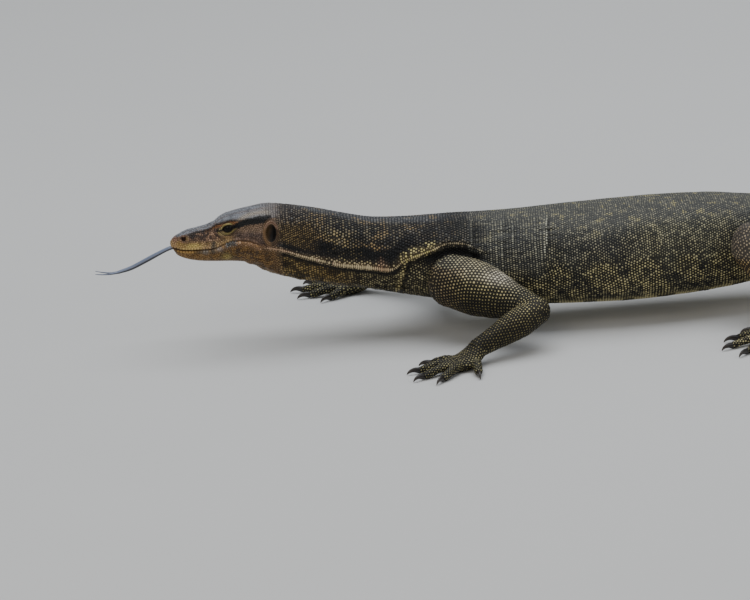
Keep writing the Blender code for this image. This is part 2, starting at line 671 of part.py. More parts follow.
def build_limb(limb, skin, horn, group):
    """Upper limb, lower limb and paw from one form, parted across the joints, and claws."""
    side = limb["side"]
    upper, lower, kind = limb["names"]
    root, middle, wrist = (on_body(np.float64(s), side * out, z) for s, out, z in limb["joints"])
    ahead, palm, digits = paw_lines(kind, side, wrist, limb["toe_out"])
    whole = limb_length(upper, root, middle)
    boolean(whole, "UNION", [limb_length(lower, middle, wrist), *paw_pieces(kind, palm, digits)])
    boolean(whole, "DIFFERENCE", [grown_trunk(), half_space((0, 0, 0), (0, 0, -1))])
    ways = [unit(middle - root), unit(wrist - middle), ahead]
    cuts = [(middle, unit(ways[0] + ways[1])), (wrist, unit(ways[1] + ways[2]))]
    for number, name in enumerate(limb["names"]):
        piece = bpy.data.objects.new(f"{name}_{SIDE_NAMES[side]}", whole.data.copy())
        bpy.context.scene.collection.objects.link(piece)
        for point, way in cuts[:number]:
            boolean(piece, "DIFFERENCE", [half_space(point + way * GAP / 2, -way)])
        for point, way in cuts[number:]:
            boolean(piece, "DIFFERENCE", [half_space(point - way * GAP / 2, way)])
        finished(keep_largest(piece), skin, group)
    bpy.data.objects.remove(whole)
    for number, spots in enumerate(digits, 1):
        finished(claw(f"claw_{kind}_{SIDE_NAMES[side]}_{number}", spots), horn, group)


def main():
    for obj in list(bpy.data.objects):
        bpy.data.objects.remove(obj)
    group = bpy.data.collections.new("water_monitor")
    bpy.context.scene.collection.children.link(group)
    materials = {name: material(name) for name in MATERIALS}
    for piece in head_and_jaw():
        finished(piece, materials["brown_head_skin"], group)
    finished(tongue(), materials["tongue"], group)
    for side in (LEFT, RIGHT):
        ball = ellipsoid(f"eye_{SIDE_NAMES[side]}", eye_centre(side), (EYE_RADIUS,) * 3, 0, 16, 10)
        finished(ball, materials["eye"], group)
    for name, start, end in CUTS[1:]:
        finished(body_segment(name, start, end), materials["dark_scaled_skin"], group)
    for limb in LIMBS.values():
        build_limb(limb, materials["dark_scaled_skin"], materials["claw_horn"], group)


main()
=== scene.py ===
"""Looks of the life-size water monitor lizard: skin, scales, eyes, claws and tongue.

The animal faces -X, its left side is on -Y and the floor is z = 0. Shapes are worked out in
millimetres, at stations along the curved spine from the tip of the snout, as in the solids, and
become Blender's metres when a mesh is made.
"""

import itertools
import logging
import math
from collections.abc import Iterator
from contextlib import contextmanager
from dataclasses import dataclass, field, fields
from enum import Enum, IntEnum

import bmesh
import bpy
import numpy as np
from bpy.types import Material, Mesh, Node, NodeSocket, NodeTree, Object
from mathutils import Matrix, Vector
from mathutils.bvhtree import BVHTree
from mathutils.kdtree import KDTree


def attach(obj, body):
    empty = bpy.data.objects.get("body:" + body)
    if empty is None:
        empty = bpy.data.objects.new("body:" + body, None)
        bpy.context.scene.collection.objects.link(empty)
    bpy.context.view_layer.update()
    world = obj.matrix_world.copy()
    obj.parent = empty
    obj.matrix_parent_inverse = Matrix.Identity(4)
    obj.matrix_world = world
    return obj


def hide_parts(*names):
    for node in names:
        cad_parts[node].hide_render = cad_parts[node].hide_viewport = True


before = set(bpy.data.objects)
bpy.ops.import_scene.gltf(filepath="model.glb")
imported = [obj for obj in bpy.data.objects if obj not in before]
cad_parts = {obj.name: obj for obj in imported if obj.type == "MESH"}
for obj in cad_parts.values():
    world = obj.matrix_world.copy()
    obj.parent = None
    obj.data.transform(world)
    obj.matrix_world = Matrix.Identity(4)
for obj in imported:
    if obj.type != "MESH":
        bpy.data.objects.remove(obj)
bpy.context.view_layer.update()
log = logging.getLogger("water_monitor")
Array = np.ndarray

MM = 0.001
TURN = 2 * math.pi
UP = (0.0, 0.0, 1.0)
COAT_MAP = "OFBake"
PAINTED = ("ground", "spot")
SPARE = ("facing", "lie", "size", "patch", "flat")


class Side(IntEnum):
    """Which side of the animal, as the sign of its sideways distances."""

    LEFT = -1
    RIGHT = 1

    @property
    def word(self) -> str:
        """The side in words, as the names of pieces have it."""
        return self.name.lower()


class Form(Enum):
    """The shapes of scale: rings as (share of the half size, share of the height)."""

    BEAD = ((1.0, -0.6), (0.78, 0.62))
    PLATE = ((1.0, -0.6), (0.86, 0.80))
    KEEL = ((1.0, -0.6), (0.70, 0.45))


def colour(hex_code: str) -> Array:
    """Turns an sRGB hex value such as "8c7a5b" into linear red, green and blue."""
    shares = np.array([int(hex_code[i:i + 2], 16) / 255 for i in (0, 2, 4)])
    return np.where(shares <= 0.04045, shares / 12.92, ((shares + 0.055) / 1.055) ** 2.4)


def ramp(low: float, high: float, x: Array) -> Array:
    """Rises smoothly from 0 at low to 1 at high."""
    t = np.clip((x - low) / (high - low), 0, 1)
    return t * t * (3 - 2 * t)


def fall(low: float, high: float, x: Array) -> Array:
    """Falls smoothly from 1 at low to 0 at high."""
    return 1 - ramp(low, high, x)


def wave(x: Array, pitch: float) -> Array:
    """A wave from -1 to 1 that repeats at each pitch, with a crest at 0."""
    return np.cos(x * TURN / pitch)


def hump(x: Array, centre: float, width: float) -> Array:
    """A smooth hump of height 1 round a centre."""
    return np.exp(-((x - centre) / width) ** 2)


def between(low: float, high: float, ease: float, x: Array) -> Array:
    """1 between two values and 0 outside them, with soft ends."""
    return ramp(low - ease, low + ease, x) * fall(high - ease, high + ease, x)


def noise(points: Array, size: float, seed: int) -> Array:
    """Smooth noise from -1 to 1 in space.

    Args:
        points: places in millimetres, one a row.
        size: the width of one lump, in millimetres.
        seed: which noise.

    Returns:
        One value for each place.
    """
    places = np.asarray(points, float) / size
    cell = np.floor(places).astype(np.int64)
    share = places - cell
    share = share * share * (3 - 2 * share)
    total = np.zeros(len(places))
    for corner in itertools.product((0, 1), repeat=3):
        at = cell + corner
        mixed = (at[:, 0] * 73856093) ^ (at[:, 1] * 19349663) ^ (at[:, 2] * 83492791) ^ (seed * 7919)
        mixed = mixed & 0xFFFFFFFF
        mixed = ((mixed ^ (mixed >> 13)) * 1274126177) & 0xFFFFFFFF
        value = ((mixed ^ (mixed >> 16)) & 0xFFFF) / 32767.5 - 1
        total += value * np.prod(np.where(corner, share, 1 - share), axis=1)
    return total


class Curve:
    """A smooth curve through (place, value) pairs that never overshoots them."""

    def __init__(self, *pairs: tuple[float, float]) -> None:
        """Works out the slope at each pair."""
        self.places, self.values = np.array(pairs, float).T
        rise = np.diff(self.values) / np.diff(self.places)
        same_way = rise[:-1] * rise[1:] > 0
        total = np.where(same_way, rise[:-1] + rise[1:], 1)
        inner = np.where(same_way, 2 * rise[:-1] * rise[1:] / total, 0)
        self.slopes = np.concatenate([rise[:1], inner, rise[-1:]])

    def __call__(self, x: Array | float) -> Array:
        """The curve's value at each place."""
        x = np.clip(x, self.places[0], self.places[-1])
        k = np.clip(np.searchsorted(self.places, x) - 1, 0, len(self.places) - 2)
        step = self.places[k + 1] - self.places[k]
        t = (x - self.places[k]) / step
        ends = (2 * t - 3) * t * t
        return (self.values[k] * (1 + ends) - self.values[k + 1] * ends
                + step * (self.slopes[k] * (t - 2 * t * t + t ** 3)
                          + self.slopes[k + 1] * (t ** 3 - t * t)))


@dataclass(frozen=True)
class Spot:
    """A named place on the side of the head, with the half sizes of its opening."""

    station: float
    height: float
    half_sizes: tuple[float, float]
    lean: float = 0.0
    corner_sharpness: float = 0.0

    @property
    def axes(self) -> tuple[float, float]:
        """The cosine and the sine of its lean."""
        return math.cos(math.radians(self.lean)), math.sin(math.radians(self.lean))

    def turned(self, s: Array, z: Array) -> tuple[Array, Array]:
        """How far along and up from the place, in its own leaning axes, in millimetres."""
        along, up = s - self.station, z - self.height
        c, d = self.axes
        return along * c + up * d, up * c - along * d

    def share(self, s: Array, z: Array) -> Array:
        """How far from the place, in units of its half sizes."""
        along, up = self.turned(s, z)
        rise = np.abs(up / self.half_sizes[1]) ** (1 / (1 + self.corner_sharpness))
        return np.hypot(along / self.half_sizes[0], rise)

    def mark(self, s: Array, z: Array, width: float = 1.0) -> Array:
        """A soft mark on the place, 1 at its middle."""
        return hump(self.share(s, z), 0, width)

    def ring(self, share: float, count: int) -> Array:
        """Stations and heights of evenly turned points round the place, at a share of its size."""
        angles = np.linspace(0, TURN, count, endpoint=False)
        along = share * self.half_sizes[0] * np.cos(angles)
        rise = np.sign(np.sin(angles)) * np.abs(share * np.sin(angles)) ** (1 + self.corner_sharpness)
        up = self.half_sizes[1] * rise
        c, d = self.axes
        return np.stack([self.station + along * c - up * d, self.height + along * d + up * c], -1)


EYE = Spot(59.8, 123.4, (5.4, 3.9), 10.0, 0.25)
NOSTRIL = Spot(15.2, 114.0, (2.8, 2.4), 25.0)
EAR = Spot(102.6, 117.6, (5.3, 8.6), -3.0)
EYEBALL = (60.4, 12.4, 123.2)
EYEBALL_RADIUS = 6.2
SKIN_FOLDS = (302.0, 334.0, 376.0)


@dataclass
class BodyPlan:
    """Outline of head, trunk and tail by station, and the way between stations and space."""

    snout: tuple[float, float] = (-761.35, -28.2)
    snout_height: float = 108.0
    tail_tip: float = 1640.0
    snout_round: float = 7.5
    tail_round: float = 3.0
    heading: Curve = Curve(
        (0, 0), (250, 0), (330, -3), (420, 0), (520, 5), (640, 7), (760, 3), (900, -9),
        (1050, -17), (1200, -8), (1350, 12), (1480, 26), (1640, 34))
    back: Curve = Curve(
        (0, 113.5), (6, 116.3), (12, 118.8), (19, 121.6), (29, 123.3), (38, 125), (45, 127.2), (52, 131.8),
        (59, 134.6), (68, 136.8), (85, 139.2), (98, 140.8), (112, 140), (130, 137), (151, 132.2),
        (175, 125.2), (208, 117.8), (250, 115.6), (330, 115.4), (400, 117.5), (470, 118.5),
        (530, 116.5), (583, 110), (640, 101), (690, 90), (740, 74), (790, 57), (840, 46),
        (920, 40), (1160, 29), (1400, 17), (1600, 7), (1640, 4))
    belly: Curve = Curve(
        (0, 104), (3, 102.6), (5, 99), (8, 95.6), (22, 90.2), (36, 88), (60, 86.6), (73, 85.2),
        (78, 82.2), (84, 80.6), (92, 75), (104, 69.2), (120, 63.8), (161, 54), (190, 48.5),
        (240, 38), (290, 28), (340, 23.5), (400, 20.5), (470, 19), (530, 21), (590, 27),
        (640, 33), (690, 33), (740, 23), (790, 9), (830, 1), (860, -1), (1640, -0.5))
    half_width: Curve = Curve(
        (0, 7), (5, 9), (14, 10.6), (22, 11.3), (32, 12.8), (45, 15.4), (55, 17.8), (65, 20.2),
        (78, 23.6), (90, 26.6), (100, 27.2), (125, 26), (150, 28.5), (180, 33), (210, 39),
        (245, 45.5), (290, 51), (380, 57), (450, 60), (520, 57), (570, 51), (620, 42),
        (660, 35), (700, 29), (760, 24), (820, 20.5), (920, 15.5), (1040, 11.5), (1160, 8.8),
        (1400, 5), (1600, 2.4), (1640, 1.4))
    widest: Curve = Curve(
        (0, 107), (10, 105), (25, 104), (45, 106), (60, 108), (80, 108), (100, 107), (125, 100),
        (150, 93), (190, 84), (240, 74), (300, 66), (380, 62), (540, 63), (660, 62), (720, 52),
        (780, 33), (830, 22), (920, 16), (1160, 12), (1400, 7.5), (1640, 2))
    square_above: Curve = Curve(
        (0, 2.2), (20, 2.4), (45, 2.8), (60, 3.2), (95, 3.0), (120, 2.4), (240, 2.2),
        (640, 2.2), (760, 2.0), (920, 1.7), (1640, 1.6))
    square_below: Curve = Curve(
        (0, 2.4), (40, 2.7), (75, 2.6), (95, 2.3), (150, 2.1), (260, 2.3), (400, 2.6),
        (600, 2.5), (760, 2.2), (1640, 2.2))
    mouth: Curve = Curve(
        (-10, 105.6), (4, 105.0), (14, 102.8), (24, 102.2), (38, 102.6), (46, 103.7), (54, 107.2),
        (62, 110.3), (74, 111.2), (83, 109.7), (90, 106.4), (96, 103.6))
    swellings: tuple[tuple[float, Spot], ...] = (
        (-1.5, Spot(61, 122, (15, 7))), (-1.2, Spot(84, 124, (14, 6))),
        (2.2, Spot(82, 101, (12, 6))), (0.8, Spot(14.6, 114.9, (6, 5))))
    mouth_corner: float = 90.0
    thinnest: float = 0.05
    ring_points: int = 481
    brow: Curve = Curve(
        (0, 113), (8, 115.6), (18, 118.4), (29, 120.9), (36, 122.0), (43, 124.6), (50, 128.4),
        (63, 131.8), (76, 132.6), (103, 132))
    fold: Curve = Curve(
        (92, 103), (112, 99), (130, 92), (155, 84), (171, 80), (195, 77), (220, 74), (232, 82),
        (264, 92), (279, 96.5), (293, 95.5), (308, 90), (330, 80))

    def __post_init__(self) -> None:
        """Lays the spine's line out on the floor plan."""
        self.stations = np.arange(0, self.tail_tip + 1)
        turn = np.radians(self.heading(self.stations))
        self.spine_x, self.spine_y = (
            start + np.concatenate([[0], np.cumsum(way(turn))[:-1]])
            for start, way in zip(self.snout, (np.cos, np.sin)))

    def spine(self, s: Array) -> tuple[Array, Array, Array]:
        """Where the spine's line is on the floor plan, and its heading in radians."""
        x = np.where(s < 0, self.snout[0] + s, np.interp(s, self.stations, self.spine_x))
        return x, np.interp(s, self.stations, self.spine_y), np.radians(self.heading(s))

    def place(self, s: Array, out: Array, z: Array) -> Array:
        """Points in space at stations, distances out to the right of the spine, and heights."""
        x, y, turn = self.spine(np.asarray(s, float))
        return np.stack(np.broadcast_arrays(x - out * np.sin(turn), y + out * np.cos(turn), z), -1)

    def locate(self, points: Array) -> tuple[Array, Array]:
        """The station of each point in space, and how far out to the right of the spine it is."""
        s = points[:, 0] - self.snout[0]
        out = np.zeros(len(points))
        for _ in range(5):
            x, y, turn = self.spine(s)
            away_x, away_y = points[:, 0] - x, points[:, 1] - y
            s = s + away_x * np.cos(turn) + away_y * np.sin(turn)
            out = away_y * np.cos(turn) - away_x * np.sin(turn)
        return s, out

    def limits(self, s: Array) -> tuple[Array, Array, Array]:
        """Top, bottom and half width of the section at each station, rounded off at both ends."""
        ends = np.minimum(s / self.snout_round, (self.tail_tip - s) / self.tail_round)
        ends = np.sqrt(1 - (1 - np.clip(ends, 0, 1)) ** 2)
        share = np.where(s < 100, ends, 1)
        top = self.snout_height + (self.back(s) - self.snout_height) * share
        low = self.snout_height + (self.belly(s) - self.snout_height) * share
        return top, low, self.half_width(s) * ends

    def half(self, s: Array, above: Array) -> tuple[Array, Array, Array, Array]:
        """Middle height, half width, rise and squareness of a section's upper or lower half."""
        top, low, wide = self.limits(s)
        middle = self.widest(s)
        return (middle, wide, np.where(above, top - middle, middle - low),
                np.where(above, self.square_above(s), self.square_below(s)))

    def level(self, s: Array, out: Array, z: Array) -> Array:
        """How far out of its section each point is: 1 on the surface, 0 on the middle line."""
        middle, wide, rise, power = self.half(s, z >= self.widest(s))
        sideways = np.abs(out) / np.maximum(wide, self.thinnest)
        upright = np.abs(z - middle) / np.maximum(rise, self.thinnest)
        return np.maximum(sideways ** power + upright ** power, 1e-9) ** (1 / power)

    def turn_share(self, s: Array, out: Array, z: Array) -> Array:
        """How far round from the middle of the back (0) to the middle of the belly (1)."""
        middle, wide, rise, _ = self.half(s, z >= self.widest(s))
        upright = (z - middle) / np.maximum(rise, self.thinnest)
        return np.arctan2(np.abs(out) / np.maximum(wide, self.thinnest), upright) / math.pi

    def section(self, s: float) -> tuple[Array, Array, Array]:
        """One fine ring from the back round the left side: distances out, heights and lengths."""
        angle = np.linspace(0, TURN, self.ring_points)
        middle, wide, rise, power = self.half(np.float64(s), np.cos(angle) >= 0)
        power = 2 / power
        out = -wide * np.sign(np.sin(angle)) * np.abs(np.sin(angle)) ** power
        z = middle + rise * np.sign(np.cos(angle)) * np.abs(np.cos(angle)) ** power
        return out, z, np.concatenate([[0], np.cumsum(np.hypot(np.diff(out), np.diff(z)))])

    def relief(self, s: Array, z: Array, sideways: Array) -> Array:
        """How far brow, cheek, lips and neck fold stand out of the plain section."""
        side = ramp(0.25, 0.7, np.abs(sideways))
        brow_run = between(39, 101, 5, s)
        rise = 1.5 * brow_run * hump(z - self.brow(s), 0, 2.6)
        for height, spot in self.swellings:
            rise += height * spot.mark(s, z)
        lips = fall(self.mouth_corner - 4, self.mouth_corner + 3, s)
        rise += 0.7 * lips * hump(np.abs(z - self.mouth(s)), 2.4, 1.7)
        from_fold = z - self.fold(s)
        fold_run = between(108, 317, 15, s)
        rise += 2.6 * fold_run * hump(from_fold, 2, 7.0)
        rise -= 3.2 * fold_run * hump(from_fold, -11, 7.0)
        return rise * side


def lengths_along(points: Array) -> Array:
    """How far along a line each of its points is."""
    return np.concatenate([[0], np.cumsum(np.linalg.norm(np.diff(points, axis=0), axis=1))])


def on_line(at: Array, place: Array, points: Array) -> Array:
    """Points at given lengths along a line of straight stretches."""
    return np.stack([np.interp(at, place, points[:, i]) for i in range(3)], -1)


def smooth_line(points: Array, count: int) -> Array:
    """Evenly spaced points on a smooth curve through a few given ones."""
    points = np.asarray(points, float)
    place = lengths_along(points)
    even = np.linspace(0, place[-1], count)
    return np.stack([Curve(*zip(place, points[:, i]))(even) for i in range(3)], -1)


def unit(vectors: Array) -> Array:
    """Vectors of the same directions and of length 1."""
    vectors = np.asarray(vectors, float)
    return vectors / np.maximum(np.linalg.norm(vectors, axis=-1, keepdims=True), 1e-9)


def near_tree(points: Array) -> KDTree:
    """A tree that finds the nearest of many points."""
    tree = KDTree(len(points))
    for i, point in enumerate(points):
        tree.insert(point, i)
    tree.balance()
    return tree


@contextmanager
def edited(mesh: Mesh) -> Iterator[bmesh.types.BMesh]:
    """Opens a mesh for editing and writes it back at the end."""
    work = bmesh.new()
    work.from_mesh(mesh)
    yield work
    work.to_mesh(mesh)
    work.free()


def swept(line: Array, wide: Array, thick: Array, sides: int) -> Array:
    """Rings of an oval carried along a line.

    Args:
        line: the oval's middle at each ring, in millimetres.
        wide: its half width across at each ring.
        thick: its half height at each ring.
        sides: points a ring.

    Returns:
        An array of rings of points.
    """
    along = unit(np.gradient(line, axis=0))
    across = unit(np.cross(UP, along))
    up = np.cross(along, across)
    angle = np.linspace(0, TURN, sides, endpoint=False)[None, :, None]
    return (line[:, None] + np.asarray(wide)[:, None, None] * np.cos(angle) * across[:, None]
            + np.asarray(thick)[:, None, None] * np.sin(angle) * up[:, None])


@dataclass
class Shell:
    """Closed surfaces gathered as points in millimetres and faces, before they become a mesh."""

    points: list[Array] = field(default_factory=list)
    faces: list[tuple[int, ...]] = field(default_factory=list)

    def loft(self, rings: Array, start_tip: Array | None = None,
             end_tip: Array | None = None) -> None:
        """Adds a surface through rings of points, closed at each end by a tip or a flat.

        Args:
            rings: rings of points, all with as many points.
            start_tip: the point that closes the first ring; its middle if left out.
            end_tip: the point that closes the last ring; its middle if left out.
        """
        rings = np.asarray(rings, float)
        count, sides = rings.shape[:2]
        base = sum(len(part) for part in self.points)
        tips = [rings[0].mean(0) if start_tip is None else start_tip,
                rings[-1].mean(0) if end_tip is None else end_tip]
        self.points.append(np.concatenate([rings.reshape(-1, 3), tips]))
        first, last = base + count * sides, base + count * sides + 1
        for j in range(sides):
            k = (j + 1) % sides
            for i in range(count - 1):
                here, there = base + i * sides, base + (i + 1) * sides
                self.faces.append((here + j, there + j, there + k, here + k))
            self.faces.append((first, base + j, base + k))
            end = base + (count - 1) * sides
            self.faces.append((last, end + k, end + j))

    def mesh(self, name: str) -> Mesh:
        """The gathered surfaces as one mesh in metres, with its faces pointing outwards."""
        mesh = bpy.data.meshes.new(name)
        mesh.from_pydata((np.concatenate(self.points) * MM).tolist(), [], self.faces)
        with edited(mesh) as work:
            bmesh.ops.recalc_face_normals(work, faces=work.faces[:])
        mesh.shade_smooth()
        return mesh


def piece(name: str, mesh: Mesh, finish: Material | None = None) -> Object:
    """An object for a mesh, in the scene, at the origin, with its finish if it is given."""
    mesh.name = name
    if finish:
        mesh.materials.append(finish)
    made = bpy.data.objects.new(name, mesh)
    bpy.context.scene.collection.objects.link(made)
    return made


def settled(made: Object) -> Mesh:
    """The mesh that an object's modifiers make; the modifiers and the old mesh are removed."""
    graph = bpy.context.evaluated_depsgraph_get()
    mesh = bpy.data.meshes.new_from_object(made.evaluated_get(graph))
    old = made.data
    made.modifiers.clear()
    made.data = mesh
    bpy.data.meshes.remove(old)
    return mesh


def fused(made: Object, voxel: float, rounds: int) -> Mesh:
    """Fuses overlapping surfaces into one even surface of cells of a size, and smooths it."""
    fuse = made.modifiers.new("fuse", "REMESH")
    fuse.mode = "VOXEL"
    fuse.voxel_size = voxel * MM
    fuse.use_smooth_shade = True
    made.modifiers.new("ease", "SMOOTH").iterations = rounds
    return settled(made)


def triples(items: bpy.types.bpy_prop_collection, name: str, kind: type = np.float32) -> Array:
    """What all of a mesh's items hold under a name, three numbers a row."""
    flat = np.empty(len(items) * 3, kind)
    items.foreach_get(name, flat)
    return flat.reshape(-1, 3)


def points_of(mesh: Mesh) -> Array:
    """The mesh's points in millimetres."""
    return triples(mesh.vertices, "co").astype(float) / MM


def normals_of(mesh: Mesh) -> Array:
    """The smooth normal at each of the mesh's points."""
    return triples(mesh.vertex_normals, "vector").astype(float)


def move_points(mesh: Mesh, points: Array) -> None:
    """Puts the mesh's points at places given in millimetres."""
    mesh.vertices.foreach_set("co", (points * MM).astype(np.float32).ravel())
    mesh.update()


@dataclass(frozen=True)
class PawPlan:
    """Palm or sole and its digits, thumb first, each as (spread in degrees, length)."""

    length: float
    half_widths: tuple[float, float, float]
    half_thickness: tuple[float, float, float]
    digits: tuple[tuple[float, float], ...]
    knuckles: float


HAND = PawPlan(27, (11, 15, 17), (9, 8.5, 7), ((-52, 24), (-24, 36), (0, 43), (23, 43), (56, 30)), 13)
FOOT = PawPlan(42, (12, 15.5, 18), (10, 9, 7.5), ((-38, 27), (-17, 41), (2, 54), (22, 64), (64, 38)), 14)


@dataclass
class LimbPlan:
    """One limb: its joints as (station, distance out, height), its flesh and its paw."""

    name: str
    side: Side
    names: tuple[str, str, str]
    joints: tuple[tuple[float, float, float], ...]
    toe_out: float
    upper: tuple[tuple[float, float, float], ...]
    lower: tuple[tuple[float, float, float], ...]
    paw: PawPlan
    bend: float = 0.22
    digit_arch: tuple[tuple[float, float], ...] = (
        (-0.12, 6.0), (0.3, 7.2), (0.62, 6.2), (0.84, 4.6), (1, 3.6))
    digit_radius: tuple[tuple[float, float], ...] = (
        (0, 6.2), (0.3, 5.3), (0.45, 5.6), (0.62, 4.9), (0.8, 5.1), (1, 3.7))

    def set_out(self, plan: BodyPlan) -> None:
        """Works out the joints, the palm's line and the digits' lines in space."""
        self.root, self.middle, self.wrist = (
            plan.place(s, self.side * out, z) for s, out, z in self.joints)
        turn = math.radians(self.toe_out)
        self.ahead = np.array([-math.cos(turn), self.side * math.sin(turn), 0])
        outer = np.array([math.sin(turn), self.side * math.cos(turn), 0])
        knuckle = self.wrist + self.ahead * self.paw.length
        self.palm = np.array([self.wrist - self.ahead * 2, (self.wrist + knuckle) / 2, knuckle])
        self.palm[1][2] = self.paw.half_thickness[1] - 0.3
        self.palm[2][2] = self.paw.half_thickness[2] - 1.0
        self.digits = []
        for number, (spread, length) in enumerate(self.paw.digits):
            angle = math.radians(spread)
            way = self.ahead * math.cos(angle) + outer * math.sin(angle)
            share = number / 2 - 1
            setback = self.paw.length * (0.3 * share ** 2 + (0.22 if number == 4 else 0))
            start = knuckle + outer * share * self.paw.knuckles - self.ahead * setback
            self.digits.append(np.array([(*(start + way * length * along)[:2], height)
                                         for along, height in self.digit_arch]))
        corner = self.middle
        before, after = (corner + (end - corner) * self.bend for end in (self.root, self.wrist))
        t = np.linspace(0, 1, 9)[:, None]
        curve = (1 - t) ** 2 * before + 2 * t * (1 - t) * corner + t ** 2 * after
        steps = np.linspace(0, 1, 24)[:, None]
        upper = self.root + (before - self.root) * steps[:-1]
        lower = after + (self.wrist - after) * steps[1:]
        self.path = np.concatenate([upper, curve, lower])
        self.path_length = lengths_along(self.path)

    def bone(self, start: Array, end: Array, flesh: tuple, shell: Shell) -> None:
        """Adds the flesh of one long bone, round at both ends.

        Args:
            start: the joint it begins at.
            end: the joint it ends at.
            flesh: its radii, as (share of the way, upright, across).
            shell: what it is added to.
        """
        length = np.linalg.norm(end - start)
        along = (end - start) / length
        across = unit(np.cross(UP, along))
        up = np.cross(along, across)
        upright, sideways = Curve(*((t, a) for t, a, b in flesh)), Curve(*((t, b) for t, a, b in flesh))
        caps = (0.85 * flesh[0][2], 0.85 * flesh[-1][2])
        angles = np.radians([18, 38, 58, 76])
        rows = [(0, -caps[0] * math.cos(a), math.sin(a)) for a in angles]
        rows += [(t, t * length, 1.0) for t in np.linspace(0, 1, 20)]
        rows += [(1, length + caps[1] * math.cos(a), math.sin(a)) for a in angles[::-1]]
        turn = np.linspace(0, TURN, 40, endpoint=False)[:, None]
        rings = [start + along * place + np.cos(turn) * across * float(sideways(t)) * size
                 + np.sin(turn) * up * float(upright(t)) * size for t, place, size in rows]
        shell.loft(np.array(rings), start - along * caps[0], end + along * caps[1])

    def add_flesh(self, shell: Shell) -> None:
        """Adds both long bones' flesh, the palm or sole and the digits."""
        self.bone(self.root, self.middle, self.upper, shell)
        self.bone(self.middle, self.wrist, self.lower, shell)
        share = np.linspace(0, 1, 14)
        wide = Curve(*zip((0, 0.5, 1), self.paw.half_widths))(share)
        thick = Curve(*zip((0, 0.5, 1), self.paw.half_thickness))(share)
        line = smooth_line(self.palm, 14)
        rings = swept(line, wide, thick, 32)
        tip = line[-1] + (line[-1] - line[-2]) * 2.4
        last = swept(np.array([line[-1], tip]), wide[-1:] * [1, 0.75], thick[-1:] * [1, 0.7], 32)[-1]
        shell.loft(np.concatenate([rings, [last]]))
        radius = Curve(*self.digit_radius)(np.linspace(0, 1, 18))
        for spots in self.digits:
            shell.loft(swept(smooth_line(spots, 18), radius, radius * 0.92, 20))

    def nearest(self, points: Array) -> tuple[Array, Array]:
        """How far along the limb's path each point is, and how far from the path."""
        away = np.linalg.norm(points[:, None] - self.path[None], axis=2)
        best = away.argmin(1)
        return self.path_length[best], away[np.arange(len(points)), best]

    def flesh_radius(self, length: Array) -> Array:
        """The mean radius of the flesh at lengths along the path."""
        share = length / self.path_length[-1] * 2
        upper, lower = (Curve(*((t, (a + b) / 2) for t, a, b in flesh))(np.clip(share - i, 0, 1))
                        for i, flesh in enumerate((self.upper, self.lower)))
        return np.where(share < 1, upper, lower)


def limb_plans() -> list[LimbPlan]:
    """The four limbs, as the solids have them."""
    arm = ((0, 28, 28), (0.3, 27.5, 26), (0.5, 24, 22), (0.75, 17.5, 17), (1, 13.5, 13.5))
    forearm = ((0, 13, 13), (0.3, 15.5, 15), (0.7, 12.5, 11.5), (1, 9.5, 10))
    thigh = ((0, 29, 31), (0.3, 30, 29), (0.7, 27, 24), (1, 23, 20))
    shank = ((0, 21, 19), (0.3, 21.5, 19), (0.7, 15, 13.5), (1, 11, 11))
    fore, hind = ("upper_arm", "forearm", "hand"), ("thigh", "shank", "foot")
    return [
        LimbPlan("fore_left", Side.LEFT, fore, ((280, 44, 60), (366, 108, 39), (303, 150, 16)), 38,
                 arm, forearm, HAND),
        LimbPlan("fore_right", Side.RIGHT, fore, ((280, 44, 60), (256, 128, 52), (196, 158, 16)), 14,
                 arm, forearm, HAND),
        LimbPlan("hind_left", Side.LEFT, hind, ((652, 26, 64), (566, 90, 82), (616, 130, 19)), 30,
                 thigh, shank, FOOT),
        LimbPlan("hind_right", Side.RIGHT, hind, ((650, 26, 64), (664, 122, 66), (716, 152, 19)), 46,
                 thigh, shank, FOOT),
    ]


@dataclass
class Places:
    """Where points lie on the animal, in its own terms."""

    points: Array
    s: Array
    out: Array
    z: Array
    share: Array
    on_limb: Array
    limb: Array
    length: Array

    def past_fold(self, station: float) -> Array:
        """How far behind an upright fold of the flank each place is."""
        return self.s - station - 0.06 * (self.z - 100) - 1.2 * noise(self.points, 12, 13)

    def past_chest(self) -> Array:
        """How far behind the slanted crease of the chest each place is."""
        return self.s - 223 - (self.z - 48) / 3


@dataclass
class Anatomy:
    """Body and limbs together, to tell on which of them a point lies."""

    plan: BodyPlan
    limbs: list[LimbPlan]
    limb_reach: float = 36.0
    far_off: float = 60.0
    clear_of_body: float = 25.0

    def describe(self, points: Array) -> Places:
        """Where points lie: on the body by station and height, or on a limb by its length."""
        s, out = self.plan.locate(points)
        z = points[:, 2]
        level = self.plan.level(s, out, z)
        radius = np.hypot(out, z - self.plan.widest(s))
        excess = radius - radius / level
        limb = np.full(len(points), -1)
        length = np.zeros(len(points))
        gap = np.full(len(points), self.far_off)
        for number, plan in enumerate(self.limbs):
            reach = np.concatenate([plan.path, *plan.digits])
            low, high = reach.min(0) - self.limb_reach, reach.max(0) + self.limb_reach
            near = np.flatnonzero(np.all((points > low) & (points < high), axis=1)
                                  & (np.sign(out) == plan.side))
            if len(near) == 0:
                continue
            along, away = plan.nearest(points[near])
            surface_gap = away - plan.flesh_radius(along)
            better = surface_gap < gap[near]
            chosen = near[better]
            gap[chosen], length[chosen], limb[chosen] = surface_gap[better], along[better], number
        on_limb = np.where(limb >= 0, ramp(-1.0, 3.0, excess - np.maximum(gap, 0) - 1.0), 0)
        on_limb = np.where((limb >= 0) & (excess > self.clear_of_body), 1, on_limb)
        return Places(points, s, out, z, self.plan.turn_share(s, out, z), on_limb, limb, length)


